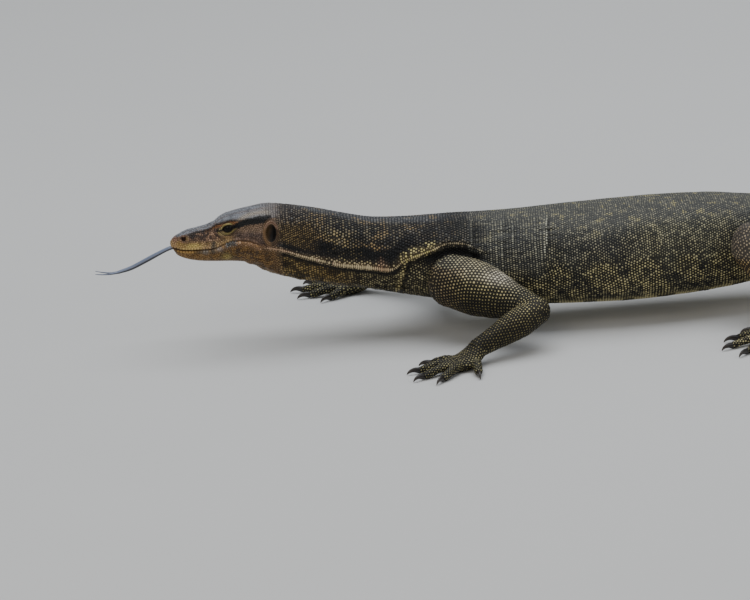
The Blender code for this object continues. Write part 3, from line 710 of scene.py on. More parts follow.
@dataclass
class Hide:
    """The skin: one closed surface over head, trunk, tail and limbs, with its folds and lids."""

    anatomy: Anatomy
    voxel: float = 1.6
    smoothing: int = 7
    trunk_share: float = 0.325
    head_end: float = 116.0
    coat_depth: float = 0.45
    lid_thickness: float = 0.55
    corner_depth: float = 3.6
    socket_depth: float = 4.2
    ear_depth: float = 3.6
    nostril_depth: float = 2.8
    ring_points: int = 90
    floor_gap: float = 0.12

    def raw_form(self) -> Object:
        """Body and limbs fused into one even surface, its head and paws the finest."""
        plan = self.anatomy.plan
        shell = Shell()
        stations = np.concatenate([np.arange(0.25, 120, 1.5), np.arange(120, 860, 5),
                                   np.arange(860, 1639, 9), [1639.7]])
        rings = []
        for s in stations:
            out, z, length = plan.section(s)
            even = np.linspace(0, length[-1], self.ring_points, endpoint=False)
            rings.append(plan.place(s, np.interp(even, length, out), np.interp(even, length, z)))
        shell.loft(np.array(rings))
        for limb in self.anatomy.limbs:
            limb.add_flesh(shell)
        made = piece("skin", shell.mesh("skin"))
        fused(made, self.voxel, self.smoothing)
        return made

    def thin_out(self, made: Object) -> None:
        """Leaves fewer triangles on the trunk, tail and upper limbs."""
        where = self.anatomy.describe(points_of(made.data))
        fine = (where.s < self.head_end + 4) & (where.on_limb < 0.5)
        fine |= (where.z < 26) & (where.on_limb > 0.5)
        group = made.vertex_groups.new(name="coarse")
        group.add(np.flatnonzero(~fine).tolist(), 1.0, "REPLACE")
        thin = made.modifiers.new("thin", "DECIMATE")
        thin.ratio = self.trunk_share
        thin.vertex_group = group.name
        thin.vertex_group_factor = 10.0
        thin.use_collapse_triangulate = True
        settled(made)
        made.vertex_groups.clear()

    def drop_hollows(self, mesh: Mesh) -> None:
        """Takes out the tiny closed hollows that fusing leaves inside, so that one surface stays."""
        with edited(mesh) as work:
            left, islands = set(work.verts), []
            while left:
                island = [left.pop()]
                for vert in island:
                    beside = {edge.other_vert(vert) for edge in vert.link_edges} & left
                    left -= beside
                    island.extend(beside)
                islands.append(island)
            islands.sort(key=len)
            stray = [vert for island in islands[:-1] for vert in island]
            bmesh.ops.delete(work, geom=stray, context="VERTS")
        log.info("hollows taken out: %d", len(islands) - 1)

    def refine(self, mesh: Mesh) -> None:
        """Splits the head's faces once, and those round its openings and mouth once more."""
        plan = self.anatomy.plan
        for step in range(2):
            points = points_of(mesh)
            s, out = plan.locate(points)
            z = points[:, 2]
            lateral = np.abs(out) > 0.45 * plan.half_width(s)
            chosen = (s < self.head_end) & (lateral | (s < 14)) & (z > plan.mouth(s) - 9)
            if step == 1:
                chosen = np.any([spot.share(s, z) < reach for spot, reach in
                                 ((EYE, 2.6), (NOSTRIL, 2.2), (EAR, 1.6))], 0) & lateral
                chosen |= (np.abs(z - plan.mouth(s)) < 2.2) & (s < plan.mouth_corner + 6)
            with edited(mesh) as work:
                edges = {edge for face in work.faces if all(chosen[v.index] for v in face.verts)
                         for edge in face.edges}
                bmesh.ops.subdivide_edges(work, edges=list(edges), cuts=1, use_grid_fill=True)
                bmesh.ops.triangulate(work, faces=work.faces[:])

    def fitted(self, points: Array) -> Array:
        """The points with the body's own ones moved back onto its true sections."""
        plan = self.anatomy.plan
        s, out = plan.locate(points)
        z = points[:, 2]
        level = plan.level(s, out, z)
        radius = np.hypot(out, z - plan.widest(s))
        excess = np.abs(radius - radius / level)
        weight = fall(0.5, 2.0, excess)
        tail = ramp(790, 810, s) * (np.abs(out) < 40)
        weight = np.maximum(weight, tail) * ramp(8, 14, s) * fall(1630, 1637, s)
        factor = 1 + weight * (1 / level - 1)
        middle = plan.widest(s)
        return plan.place(s, out * factor, middle + (z - middle) * factor)

    def carving(self, where: Places, normals: Array) -> Array:
        """How far the skin's fine folds and openings stand out or go in at each point."""
        plan = self.anatomy.plan
        s, z = where.s, where.z
        side = ramp(0.25, 0.7, np.abs(normals[:, 1]))
        body = 1 - where.on_limb
        points = where.points
        rise = plan.relief(s, z, normals[:, 1]) * body
        lips = fall(plan.mouth_corner, plan.mouth_corner + 6, s)
        from_mouth = z - plan.mouth(s)
        head = fall(112, 120, s)
        front = np.maximum(side, (s < 9) * 1.0)
        shut = 1 - 0.8 * ramp(26, 60, s)
        rise -= 1.1 * shut * lips * front * head * hump(from_mouth, 0, 0.6)
        pads = between(50, 90, 5, s) * side * head * hump(from_mouth, -2.6, 2.2)
        rise += pads * (0.7 + 0.6 * noise(points, 3.4, 9))
        rise -= 2.2 * hump(s, 0, 4.0) * hump(from_mouth, 0, 1.6) * hump(where.out, 0, 4.2)
        nostril = NOSTRIL.share(s, z)
        rise += side * head * 0.5 * hump(nostril, 1.45, 0.3)
        ear = EAR.share(s, z)
        along, up = EAR.turned(s, z)
        thick = 1.0 + 0.35 * ramp(-4, 6, along) + 0.3 * ramp(2, -8, up)
        rise += 1.15 * side * thick * hump(ear, 1.28, 0.2)
        crease = Curve((44, 120.5), (48, 116.6), (53, 114.0), (60, 113.4), (68, 115.0), (74, 118.5))
        under_eye = between(45, 73, 3, s) * side * head
        rise += under_eye * (0.45 * hump(z - crease(s), 1.1, 0.7) - 0.55 * hump(z - crease(s), 0, 0.55))
        cheek = Curve((66, 113.6), (80, 114.2), (90, 110.5), (97, 104.5))
        behind_mouth = between(68, 97, 3, s) * side * head
        rise -= 0.7 * behind_mouth * hump(z - cheek(s), 0, 0.9)
        rise += 1.0 * side * Spot(83, 117.5, (10, 4.5)).mark(s, z)
        rise -= 0.5 * between(36, 72, 5, s) * side * hump(z - plan.brow(s), -2.4, 0.9)
        nape = between(99, 119, 3, s) * fall(0.34, 0.5, where.share)
        rise += 0.2 * nape * wave(s - 98.5, 2.2)
        neck = between(118, 262, 10, s) * between(0.3, 1.0, 0.08, where.share) * body
        bend = s + 0.25 * (z - 90) + 5.0 * noise(points, 26, 5)
        rise += 0.55 * neck * np.sin(bend * TURN / 8.6) * (0.6 + 0.4 * noise(points, 18, 6))
        throat = between(84, 215, 8, s) * ramp(0.58, 0.75, where.share) * body
        rise += 0.8 * throat * noise(points * [0.45, 1, 1], 4.2, 8)
        from_fold = z - plan.fold(s)
        pocket = between(250, 309, 6, s) * body * side
        rise -= 3.0 * pocket * hump(from_fold, -6.5, 3.2)
        line = between(108, 318, 8, s) * body * side
        rise += line * (0.9 * hump(from_fold, 1.2, 2.2) - 1.1 * hump(from_fold, -3.4, 1.5))
        flank = between(300, 425, 15, s) * between(0.16, 0.62, 0.06, where.share) * body
        rise += 0.45 * flank * wave(s - 300, 5.5) * (0.6 + 0.4 * noise(points, 20, 12))
        for station in SKIN_FOLDS:
            along = where.past_fold(station)
            fold = between(82, 112, 6, z) * body * side
            rise += fold * (1.4 * hump(along, 0, 1.7) - 1.3 * hump(along, 3.2, 1.6))
        chest = between(48, 82, 5, z) * fall(240, 250, s) * body * side
        from_chest = where.past_chest()
        rise += chest * (1.3 * hump(from_chest, 0, 2.2) - 1.8 * hump(from_chest, 4.0, 2.0))
        ribs = between(430, 640, 30, s) * between(0.2, 0.8, 0.1, where.share) * body
        rise += 0.6 * ribs * np.sin((s + 6 * noise(points, 60, 14)) * TURN / 21)
        trunk = ramp(240, 300, s) * fall(1000, 1200, s)
        rise += 0.35 * trunk * noise(points * [1, 1, 0.5], 13, 15)
        limb = where.on_limb * (where.z > 12)
        rise += 0.4 * limb * noise(points * [1, 1, 0.35], 7, 17)
        return rise

    def opened(self, points: Array) -> Array:
        """The points with ears and nostrils hollowed and the lids laid on the eyeballs."""
        plan = self.anatomy.plan
        s, out = plan.locate(points)
        z = points[:, 2]
        lateral = ramp(0.45, 0.6, np.abs(out) / plan.half_width(s)) * (s < 125)
        hollow = self.ear_depth * fall(0.35, 1.1, EAR.share(s, z))
        hollow += self.nostril_depth * fall(0.3, 1.15, NOSTRIL.share(s, z))
        out = out - np.sign(out) * lateral * hollow
        share = EYE.share(s, z)
        station, depth, height = EYEBALL
        from_ball = np.hypot(s - station, z - height)
        reach = EYEBALL_RADIUS + self.lid_thickness
        ball = np.sqrt(np.maximum(reach ** 2 - from_ball ** 2, self.corner_depth ** 2))
        target = np.where(share < 1, depth + ball - self.socket_depth, depth + ball)
        weight = fall(1.3, 2.3, share) * (np.abs(out) > 7) * (s < 90)
        new_out = np.sign(out) * (np.abs(out) + weight * (target - np.abs(out)))
        return plan.place(s, new_out, z)

    def build(self) -> Object:
        """Makes the skin, inside the solids by the coat's depth."""
        made = self.raw_form()
        log.info("fused form: %d faces", len(made.data.polygons))
        self.thin_out(made)
        mesh = made.data
        self.drop_hollows(mesh)
        self.refine(mesh)
        log.info("skin: %d triangles", len(mesh.polygons))
        move_points(mesh, self.fitted(points_of(mesh)))
        where = self.anatomy.describe(points_of(mesh))
        normals = normals_of(mesh)
        rise = self.carving(where, normals) - self.coat_depth
        points = self.opened(where.points + normals * rise[:, None])
        points[:, 2] = np.maximum(points[:, 2], self.floor_gap)
        move_points(mesh, points)
        mesh.shade_smooth()
        return made


@dataclass
class Paint:
    """Ground colour, spot colour and strength of the spot for each point, laid in coats."""

    where: Places
    mask: Array | float = 1.0

    def __post_init__(self) -> None:
        """Starts with a dark slate ground and faint spots, and works out the shared noises."""
        count = len(self.where.s)
        self.ground = np.tile(colour("1d2124"), (count, 1))
        self.spot = np.tile(colour("7d7b66"), (count, 1))
        self.amount = np.full(count, 0.35)
        self.grain, self.mottle, self.patch = (
            noise(self.where.points, size, seed) for size, seed in ((0.9, 21), (4.5, 22), (15, 23)))

    def lay(self, weight: Array | float, ground: str | None = None, spot: str | None = None,
            amount: float | Array | None = None) -> None:
        """Lays a coat of colour over what is there, where its weight and the mask are.

        Args:
            weight: how strongly, from 0 to 1, at each point.
            ground: the new ground colour, if it changes.
            spot: the new spot colour, if it changes.
            amount: the new strength of the spots, if it changes.
        """
        weight = np.clip(self.mask * weight, 0, 1)
        if ground is not None:
            self.ground += weight[:, None] * (colour(ground) - self.ground)
        if spot is not None:
            self.spot += weight[:, None] * (colour(spot) - self.spot)
        if amount is not None:
            self.amount += weight * (amount - self.amount)


@dataclass
class Markings:
    """The animal's colours, the same for the skin and for the scales on it."""

    anatomy: Anatomy

    def at(self, where: Places) -> Paint:
        """The colours at each place."""
        paint = Paint(where)
        for part in (self.trunk, self.tail, self.neck, self.head, self.limbs):
            paint.mask = 1.0
            part(paint, where)
        paint.amount = np.clip(paint.amount, 0, 1)
        return paint

    def ocelli(self, where: Places, share: float, spacing: float, size: float, shift: float) -> Array:
        """Rings and clusters of pale scales in a row along the flank, from 0 to 1.

        Args:
            where: the places to mark.
            share: how far round the body the row lies.
            spacing: the distance between clusters, in millimetres.
            size: a cluster's radius, in millimetres.
            shift: where the first one is.

        Returns:
            The strength of the mark at each place.
        """
        girth = 3.0 * self.anatomy.plan.half_width(where.s)
        along = (where.s - shift + where.out * 0.02) / spacing
        number = np.round(along)
        jitter = 0.22 * np.sin(number * 12.9898 + shift)
        along = (along - number - jitter * 0.6) * spacing
        across = (where.share - share - 0.04 * np.sin(number * 78.233 + shift)) * girth
        away = np.hypot(along, across) / (size * (1 + 0.25 * np.sin(number * 4.1 + shift)))
        return np.maximum(hump(away, 0.72, 0.34), 0.55 * fall(0.2, 0.5, away))

    def trunk(self, paint: Paint, where: Places) -> None:
        """Grey back with olive flecks and painted sky sheen, black flank with yellow clusters, painted
        highlights and shade on the creases and folds, pale barred belly.
        """
        lay, grain, mottle, patch = paint.lay, paint.grain, paint.mottle, paint.patch
        share, s = where.share, where.s
        back = fall(0.20, 0.36, share + 0.03 * patch)
        lay(np.ones_like(s), "222425", "9a957e", 0.36 + 0.14 * mottle + 0.36 * grain)
        # The back's grey ground is partly the skin's own grey and partly painted sky sheen on the upper
        # surfaces.
        lay(back, "4a4b48", "95917c", 0.36 + 0.2 * mottle + 0.42 * grain)
        lay(back * ramp(0.35, 0.8, mottle), None, "aca273", 0.7)
        low = ramp(0.40, 0.52, share + 0.03 * patch)
        lay(low, "141516", "aaa27c", 0.33 + 0.2 * mottle + 0.36 * grain)
        by_thigh = between(462, 560, 14, s) * between(0.24, 0.52, 0.05, share)
        lay(by_thigh * 0.55, "36372f", "b3ad86", 0.46 + 0.2 * mottle + 0.36 * grain)
        upper_row = self.ocelli(where, 0.43, 47, 17, 322)
        low_row = self.ocelli(where, 0.545, 41, 15, 340)
        last_row = self.ocelli(where, 0.66, 38, 12, 330)
        run = ramp(262, 300, s) * fall(860, 900, s)
        lay(0.45 * upper_row * run, "0e0f0f", "b0a67e", 0.44 + 0.32 * grain)
        lay(0.8 * low_row * run, "0b0b0a", "c6ba86", 0.50 + 0.30 * grain)
        lay(0.9 * last_row * run, "0c0c0a", "cdc08c", 0.54 + 0.28 * grain)
        creased = between(300, 372, 8, s) * between(0.12, 0.50, 0.07, share)
        creased *= 0.75 + 0.5 * noise(where.points, 14, 12)
        # Greyer creased flank: the pale crowns on its ribs are partly painted highlight.
        lay(creased * 0.85, "3d3f41", "aaa893", 0.46 + 0.35 * grain + 0.15 * mottle)
        # Painted shade in the troughs between the crease ribs, where the carved folds dip.
        crease_trough_shade = ramp(0.3, 0.8, -wave(s - 300, 5.5))
        lay(creased * crease_trough_shade * 0.45, "141516", "6f6e60", 0.3)
        for station, bright in zip(SKIN_FOLDS, (2.0, 0.35, 0.95)):
            along = where.past_fold(station)
            fold = between(82, 112, 6, where.z) * (where.on_limb < 0.5)
            lay(bright * fold * hump(along, 0, 1.6), "6a6b64", "c2c0aa", 0.7 + 0.2 * grain)
            # Painted shade in the groove just behind each skin fold.
            lay(fold * hump(along, 2.9, 1.3) * 0.8, "08090a", "2c2d2b", 0.15)
        belly = ramp(0.72, 0.80, share) * ramp(225, 262, s)
        bars = ramp(0.15, 0.5, np.sin((s + 10 * np.abs(share - 1) + 5 * patch) * TURN / 37))
        lay(belly, "6b6446", "cbbf90", 0.85)
        lay(belly * bars * fall(0.9, 0.97, share), "191813", "8f8660", 0.40)

    def tail(self, paint: Paint, where: Places) -> None:
        """Dark tail with bands of yellow scales that turn plainer and paler towards the tip."""
        lay, grain, patch = paint.lay, paint.grain, paint.patch
        s = where.s
        paint.mask = ramp(700, 760, s) * (1 - where.on_limb)
        uneven = noise(where.points, 34, 24)
        swing = np.sin((s - 700 + 7 * patch + 9 * uneven) * TURN / (66 - 0.014 * (s - 700)))
        band = ramp(0.05, 0.75, swing + 0.7 * grain + 0.35 * patch)
        top = fall(0.25, 0.5, where.share)
        lay(1.0, "0f1112", "7c7a66", 0.28 + 0.2 * grain)
        # Greyer top of the tail: partly the skin's own grey and partly painted sky sheen.
        lay(top * 0.6, "24282a", "7f7d6b", 0.36 + 0.2 * grain)
        lay(band, "1a1914", "b9ad72", 0.64 - 0.2 * top + 0.25 * grain)
        under = ramp(0.74, 0.84, where.share)
        lay(under * (0.5 + 0.5 * band), "504b36", "b5aa7b", 0.7)

    def neck(self, paint: Paint, where: Places) -> None:
        """Slate nape with tan beads, tan side, dark band, pale fold line and mottled throat; painted sky
        sheen on the top edge and some beads, painted shade under the fold, in the pocket and in the chest
        crease.
        """
        lay, grain, mottle, patch = paint.lay, paint.grain, paint.mottle, paint.patch
        plan = self.anatomy.plan
        s, z, share = where.s, where.z, where.share
        from_fold = z - plan.fold(s)
        run = ramp(100, 116, s) * fall(258, 330, s + 14 * patch)
        above = ramp(-2, 2, from_fold)
        flecks = noise(where.points, 7, 33)
        tint = noise(where.points, 1.2, 37)
        lay(run * above, "0a0a0b", "6a6455", 0.42 + 0.42 * grain + 0.1 * flecks)
        top = fall(0.24, 0.36, share + 0.03 * patch)
        lay(run * top, "131313", "746b56", 0.40 + 0.42 * grain)
        # Blue-grey along the very top of the neck: painted sky sheen on its upper outline.
        lay(run * top * fall(0.05, 0.14, share), "3b3d40", "85837e", 0.40 + 0.3 * grain)
        lay(run * above * ramp(0.0, 0.6, flecks), None, "8f7b58", 0.52 + 0.35 * grain)
        nape = run * fall(112, 150, s) * fall(0.22, 0.36, share)
        lay(nape, "262220", "7a7062", 0.42 + 0.4 * grain)
        tan = between(0.32, 0.44, 0.04, share + 0.02 * patch - 0.0004 * (s - 110)) * run
        tan *= fall(225, 262, s)
        lay(tan, "15110c", "967d54", 0.60 + 0.32 * grain + 0.1 * flecks)
        lay(tan * ramp(0.1, 0.5, tint), None, "a58a5e")
        slanted = between(160, 186, 7, s + 0.5 * (z - 100)) * between(0.28, 0.58, 0.04, share)
        lay(slanted * run * above * 0.7, "14120e", "ae9d72", 0.52 + 0.38 * grain)
        # Blue-grey crowns on some neck scales: partly painted sky reflection on the glossy beads.
        lay(run * above * ramp(0.15, 0.5, -tint) * 0.6, None, "5b6064")
        fold_run = ramp(96, 108, s) * fall(300, 325, s)
        dark = between(3.2, 20, 2.5, from_fold + 2.5 * patch) * fold_run * (1 - 0.6 * ramp(225, 255, s))
        lay(dark * (1 - 0.25 * slanted), "060708", "2c3033", 0.20 + 0.32 * grain)
        ochre = dark * between(150, 215, 10, s) * ramp(0.3, 0.5, grain + 0.3 * flecks)
        lay(ochre * 0.5, None, "7d6c45", 0.38)
        behind_ear = between(106, 146, 8, s) * between(92, 124, 4, z) * ramp(5, 11, from_fold)
        lay(behind_ear, "241d13", "84704a", 0.44 + 0.4 * grain)
        below = fall(-4.5, -1.5, from_fold)
        throat = below * ramp(88, 102, s) * fall(250, 285, s)
        rear = ramp(158, 205, s)
        speck = noise(where.points, 1.5, 36)
        lay(throat, "2d2516", "857043", 0.48 + 0.2 * flecks + 0.5 * grain)
        lay(throat * ramp(0.0, 0.5, speck + 0.4 * mottle) * (1 - rear), "4b3d25", "a38b58", 0.65)
        lay(throat * ramp(0.1, 0.6, -mottle) * 0.8, "18120b", "55452a", 0.3)
        lay(throat * rear, "100e0b", "a49a74", 0.40 + 0.2 * mottle + 0.4 * grain)
        tall = Curve((96, 1.6), (128, 2.3), (150, 3.6), (170, 4.6), (215, 4.6), (260, 3.4), (310, 2.0))(s)
        line = fold_run * hump(from_fold / tall, 0.25, 1.0)
        wear = 0.7 + 0.45 * grain + 0.3 * flecks
        faded = ramp(262, 282, s)
        dull = hump(s, 139, 12)
        lay(1.4 * line * (1 - 0.75 * faded) * (1 + 0.25 * dull) * wear, "4a3d27", "cfbc94", 0.80)
        lay(line * hump(s, 112, 16) * 0.8, "5a4636", "bb9a80", 0.7)
        lay(line * hump(s, 152, 13) * ramp(0, 0.5, tint) * 0.8, "4a3a30", "b08f82", 0.6)
        beads = hump(from_fold, 6.0, 2.2) * (between(168, 184, 4, s) + 0.4 * between(186, 224, 4, s))
        lay(beads * 0.9 * ramp(-0.1, 0.3, grain), "14120d", "bcac72", 0.52)
        peak = np.clip(1.6 - np.abs(s - 210) / 7 - np.maximum(from_fold, 0) / 10, 0, 1) * above
        lay(peak * (0.85 + 0.3 * grain), "4a3527", "c09c7c", 0.66)
        # Painted shade on the fold's shadowed underside at the notch.
        notch = between(218, 232, 2.5, s) * hump(from_fold, -2.0, 2.2)
        lay(notch, "101318", "2c333b", 0.2)
        cluster = between(228, 264, 5, s) * between(-2.5, 9, 2.5, from_fold)
        lay(cluster * ramp(-0.5, 0.2, grain + 0.3 * tint), "3a3320", "d4c583", 0.68)
        # Painted shadow in the groove under the fold line.
        lay(0.9 * fold_run * hump(from_fold, -4.8, 1.9), "070707", "2c2820", 0.15)
        # Painted shade in the pocket between the fold and the top of the arm.
        pocket = between(252, 312, 6, s) * hump(from_fold, -9.0, 5.5)
        lay(pocket, "08090a", "34342f", 0.2)
        chest = between(46, 82, 5, z) * fall(240, 250, s)
        from_chest = where.past_chest()
        lay(chest * hump(from_chest, 0, 2.0), "6b6142", "c4b580", 0.8)
        # Painted shade in the groove of the chest crease.
        lay(chest * hump(from_chest, 4.0, 2.2), "080808", "2d2b25", 0.15)

    def head(self, paint: Paint, where: Places) -> None:
        """Grey crown with painted sky sheen, brown snout and cheek, dark temple stripe, yellow lids and
        ochre jaw; painted shade under the brow, in the eye socket, round the lower lid, at the back of the
        ear and along the mouth line.
        """
        lay, grain, mottle, patch = paint.lay, paint.grain, paint.mottle, paint.patch
        plan = self.anatomy.plan
        s, z, share = where.s, where.z, where.share
        head = paint.mask = fall(96, 114, s + 3 * patch)
        brow, mouth = plan.brow(s), plan.mouth(s)
        flecks = noise(where.points, 2.2, 31)
        fine = noise(where.points, 1.3, 35)
        side = np.maximum(ramp(0.06, 0.16, share), s < 14)
        lay(1.0, "5a4332", "86674e", 0.4 + 0.3 * grain)
        lay(ramp(0.0, 0.6, flecks), "765a46", "a08066", 0.55)
        lay(ramp(0.3, 0.55, fine) * (s < 60) * 0.7, "8d7058", "b8967a", 0.6)
        lay(ramp(0.1, 0.6, -flecks), "34261f", "5a4538", 0.3)
        lay(ramp(0.35, 0.6, -fine) * (s < 60) * 0.8, "241b17", "3f322b", 0.2)
        cheek = between(64, 99, 5, s) * between(107, 120, 3, z)
        temple = between(66, 99, 5, s) * between(119, 128, 2, z)
        lay(fall(5, 13, s) * 0.8, "7d5646", "97755c", 0.4)
        nose_mark = Spot(25, 116.3, (8, 2.6)).share(s, z)
        lay(hump(nose_mark, 0, 0.9) * 0.8, "231d1b", "453c37", 0.2)
        lip = between(0.0, 7.5, 2.0, z - mouth) * fall(58, 72, s)
        lay(lip * (0.6 + 0.35 * mottle), "937547", "c9a96c", 0.6 + 0.2 * grain)
        lay(cheek * 0.75, "4a3c35", "736057", 0.42 + 0.25 * flecks + 0.2 * grain)
        lay(temple * 0.8, "67523f", "947b64", 0.48 + 0.2 * flecks)
        pits = ramp(0.35, 0.9, wave(s, 3.1)) * hump(z - mouth, 5.6, 0.8)
        lay(pits * between(12, 62, 4, s) * 0.75, "2b211a", "46372b", 0.1)
        row = ramp(0.1, 0.8, wave(s, 2.6)) * hump(z - mouth - 3.4, 0, 0.9)
        lay(row * between(24, 60, 4, s) * 0.6, "a58c62", "c9b183", 0.6)
        lay(Spot(24, 106.5, (9, 3.2)).mark(s, z, 0.9), "a88e4a", "cfb66a", 0.6)
        lay(Spot(11, 109.0, (4, 4)).mark(s, z, 0.9), "967540", "b89a5e", 0.5)
        bars = hump(s, 44.5, 2.4)
        lay(lip * bars * 0.85, "1f1e1d", "53595c", 0.35)
        corner = between(72, 99, 4, s) * hump(z - mouth, -3.5, 4.5)
        lay(corner * 0.8, "5f4126", "93693f", 0.5 + 0.2 * grain)
        pads = between(54, 92, 4, s) * hump(z - mouth, -2.8, 2.6)
        jaw = fall(-1.2, 0.2, z - mouth)
        lay(jaw, "634621", "8d6b38", 0.5 + 0.25 * grain)
        lay(jaw * ramp(0.1, 0.6, flecks) * 0.8, "7d5e33", "a58450", 0.6)
        rear = ramp(28, 52, s)
        net = ramp(-0.4, 0.5, 0.6 * fine + 0.6 * flecks + 0.4 * mottle)
        lay(jaw * net * rear * 0.85, "2a1c0f", "4d3a1e", 0.3)
        lip_edge = between(-3.6, -0.6, 0.7, z - mouth) * fall(66, 80, s)
        lay(lip_edge * 0.65, "86652f", "b18b4c", 0.55 + 0.2 * mottle)
        lay(lip_edge * ramp(0.15, 0.5, -mottle) * 0.7, "2b2118", "54432c", 0.3)
        lay(pads * (0.65 + 0.5 * flecks), "7d5c42", "b08863", 0.5 + 0.3 * grain)
        lay(pads * ramp(0.2, 0.6, fine) * 0.8, "a98566", "cdab8a", 0.7)
        lay(pads * ramp(0.15, 0.5, -fine) * 0.7, "33251b", "4c392b", 0.2)
        blot = between(56, 67, 2, s) * hump(z - mouth, -2.0, 2.2)
        lay(blot * 0.85, "23292d", "5d676b", 0.3)
        lay(blot * ramp(0.1, 0.4, wave(s, 3.2)), "7d8888", "aab4b2", 0.7)
        for centre, dark, pale in ((36.0, "5c5c5a", "8d8f8c"), (43.5, "2a2a2a", "4a4c4c"),
                (50.0, "8f8178", "b3a69c")):
            mark = Spot(centre, plan.mouth(centre) - 2.2, (3.6, 2.8)).share(s, z)
            lay(hump(mark, 0, 1.0) * (z < mouth + 0.5) * 0.8, dark, pale, 0.4)
        lay(Spot(57, 94, (6, 5)).mark(s, z, 0.8), "86723a", "a8975a", 0.6)
        chin = ramp(0.80, 0.92, share) * jaw
        lay(chin * 0.7, "7a6540", "a08a5c", 0.6)
        over = between(40, 78, 4, s) * between(-9.0, -0.8, 0.8, z - brow)
        over *= ramp(2.6, 4.4, z - EYE.height + 0.38 * np.maximum(56 - s, 0))
        lay(over, "784c2b", "a27243", 0.5 + 0.3 * fine)
        crown = ramp(-0.6, 0.4, z - brow) * side
        crown = np.maximum(crown, fall(0.06, 0.16, share)) * ramp(4, 10, s)
        # The crown's blue-grey is partly the head's own grey and partly painted sky sheen on its upper
        # surface.
        lay(crown, "787a7f", "8a8c91", 0.45 + 0.2 * flecks)
        lay(crown * ramp(0.15, 0.6, mottle) * 0.8, "505256", "74777b", 0.3)
        back_edge = ramp(86, 103, s + 2 * flecks) * crown
        lay(back_edge * 0.75, "55504b", "948d84", 0.45 + 0.3 * grain)
        # Painted shade under the overhanging brow.
        brow_shade = hump(z - brow, -1.2, 0.9) * between(18, 76, 5, s)
        lay(brow_shade * 0.95, "120f0e", "2b2420", 0.15)
        lids = EYE.share(s, z)
        along, up = EYE.turned(s, z)
        paint.mask = head * (s < 90) * (lids < 3)
        rim = between(0.9, 1.2, 0.08, lids)
        lay(rim, "3a3020", "5a4c30", 0.3)
        # Painted shade: the skin inside the eye opening, under the lids, is made near black.
        lay(fall(0.82, 0.96, lids), "0a0807", "0a0807", 0.0)
        tear_skin = between(-9.5, -4.4, 1.2, along) * between(-4.2, -1.0, 0.8, up)
        lay(tear_skin * 0.7, "77633e", "9c8859", 0.5)
        low_lid = Curve((-11, -2.0), (-7, -4.0), (-3.5, -4.9), (-0.5, -5.2), (2.9, -4.6), (6.5, -2.6),
            (9, -1.4))
        width = 0.95 + 0.5 * hump(along, -5, 4)
        line = hump((up - low_lid(along)) / width, 0, 1) * between(-10.5, 8.6, 1.0, along)
        lay(np.minimum(1.3 * line, 1), "8b7b45", "bcad6e", 0.55 + 0.25 * fine)
        high_lid = Curve((-9.5, 0.1), (-5.3, 2.1), (-2.2, 4.1), (2.0, 4.4), (5.8, 3.3))
        line = hump(up - high_lid(along), 0, 0.72) * between(-9.8, 6.2, 0.7, along)
        lay(np.minimum(1.3 * line, 1), "8b7c48", "bdb075", 0.6)
        mark = hump(up, -0.4, 0.95) * between(-11.5, -4.7, 0.7, along)
        lay(np.minimum(1.3 * mark, 1), "0a0908", "14110f", 0.1)
        paint.mask = head
        lay(Spot(53.8, 118.2, (3.2, 2.0), 10).mark(s, z, 0.8), "968354", "b8a678", 0.5)
        # Painted shade in the groove round the lower lid.
        groove = hump(lids, 1.62, 0.13) * (up < 1) * (s < 90)
        lay(groove * 0.7, "231812", "3c2c22", 0.2)
        low_edge = Curve((62, 121.4), (66, 122.1), (72, 123.9), (82, 126.6), (104, 128.4))
        high_edge = Curve((62, 124.2), (66, 126.4), (71, 129.4), (77, 131.9), (86, 133.9), (96, 135.0),
            (104, 134.2))
        ragged = z + 0.6 * flecks + 0.4 * fine
        stripe = ramp(-0.9, 0.7, ragged - low_edge(s)) * fall(-0.7, 0.9, ragged - high_edge(s))
        stripe = stripe * between(63.5, 104, 1.6, s) * side * ramp(0.95, 1.1, lids)
        paint.mask = 1.0
        lay(stripe, "0a0a0a", "1f1e1d", 0.2 + 0.2 * flecks)
        pale = hump(z - high_edge(s), 2.4, 1.6) * between(70, 103, 5, s) * side
        lay(pale * 0.9, "8d8274", "b0a594", 0.5)
        ear = EAR.share(s, z)
        along, up = EAR.turned(s, z)
        lay(between(1.0, 1.55, 0.12, ear), "463525", "665039", 0.4 + 0.2 * grain)
        front_rim = ramp(1.5, -2.5, along)
        lay(hump(ear, 1.30, 0.26) * front_rim, "735638", "92724c", 0.5)
        lay(hump(ear, 1.22, 0.18) * ramp(3, 6, up), "836450", "a08470", 0.5)
        inside = fall(0.94, 1.08, ear)
        lay(inside, "503d25", "503d25", 0.0)
        # Painted shade in the back of the ear opening; the brown in front is the ear's own colour.
        lay(inside * ramp(-4.2, 2.4, along - 0.2 * up + 0.8 * flecks), "0a0706", "0a0706", 0.0)
        start = hump(z - plan.fold(s) - 0.4, 0, 1.9) * between(95, 115, 3, s) * ramp(1.1, 1.4, ear)
        lay(start * (0.7 + 0.5 * flecks), "6a523d", "bd9c7e", 0.7)
        paint.mask = head
        nostril = NOSTRIL.share(s, z)
        lay(fall(0.75, 1.1, nostril), "321a11", "3a2015", 0.1)
        lay(hump(nostril, 1.35, 0.25) * 0.6, "6b4634", "85614a", 0.4)
        lay(Spot(18.6, 114.2, (1.6, 2.6)).mark(s, z, 0.8), "8f744a", "aa8e60", 0.5)
        # Painted shade along the mouth line, where the lips close into a crease.
        crease = hump(z - mouth, 0, 0.5) * ramp(0.1, 0.3, share) * fall(84, 92, s)
        crease *= 0.8 - 0.5 * between(28, 92, 8, s) + 0.3 * mottle
        lay(crease, "24140f", "33211a", 0.1)

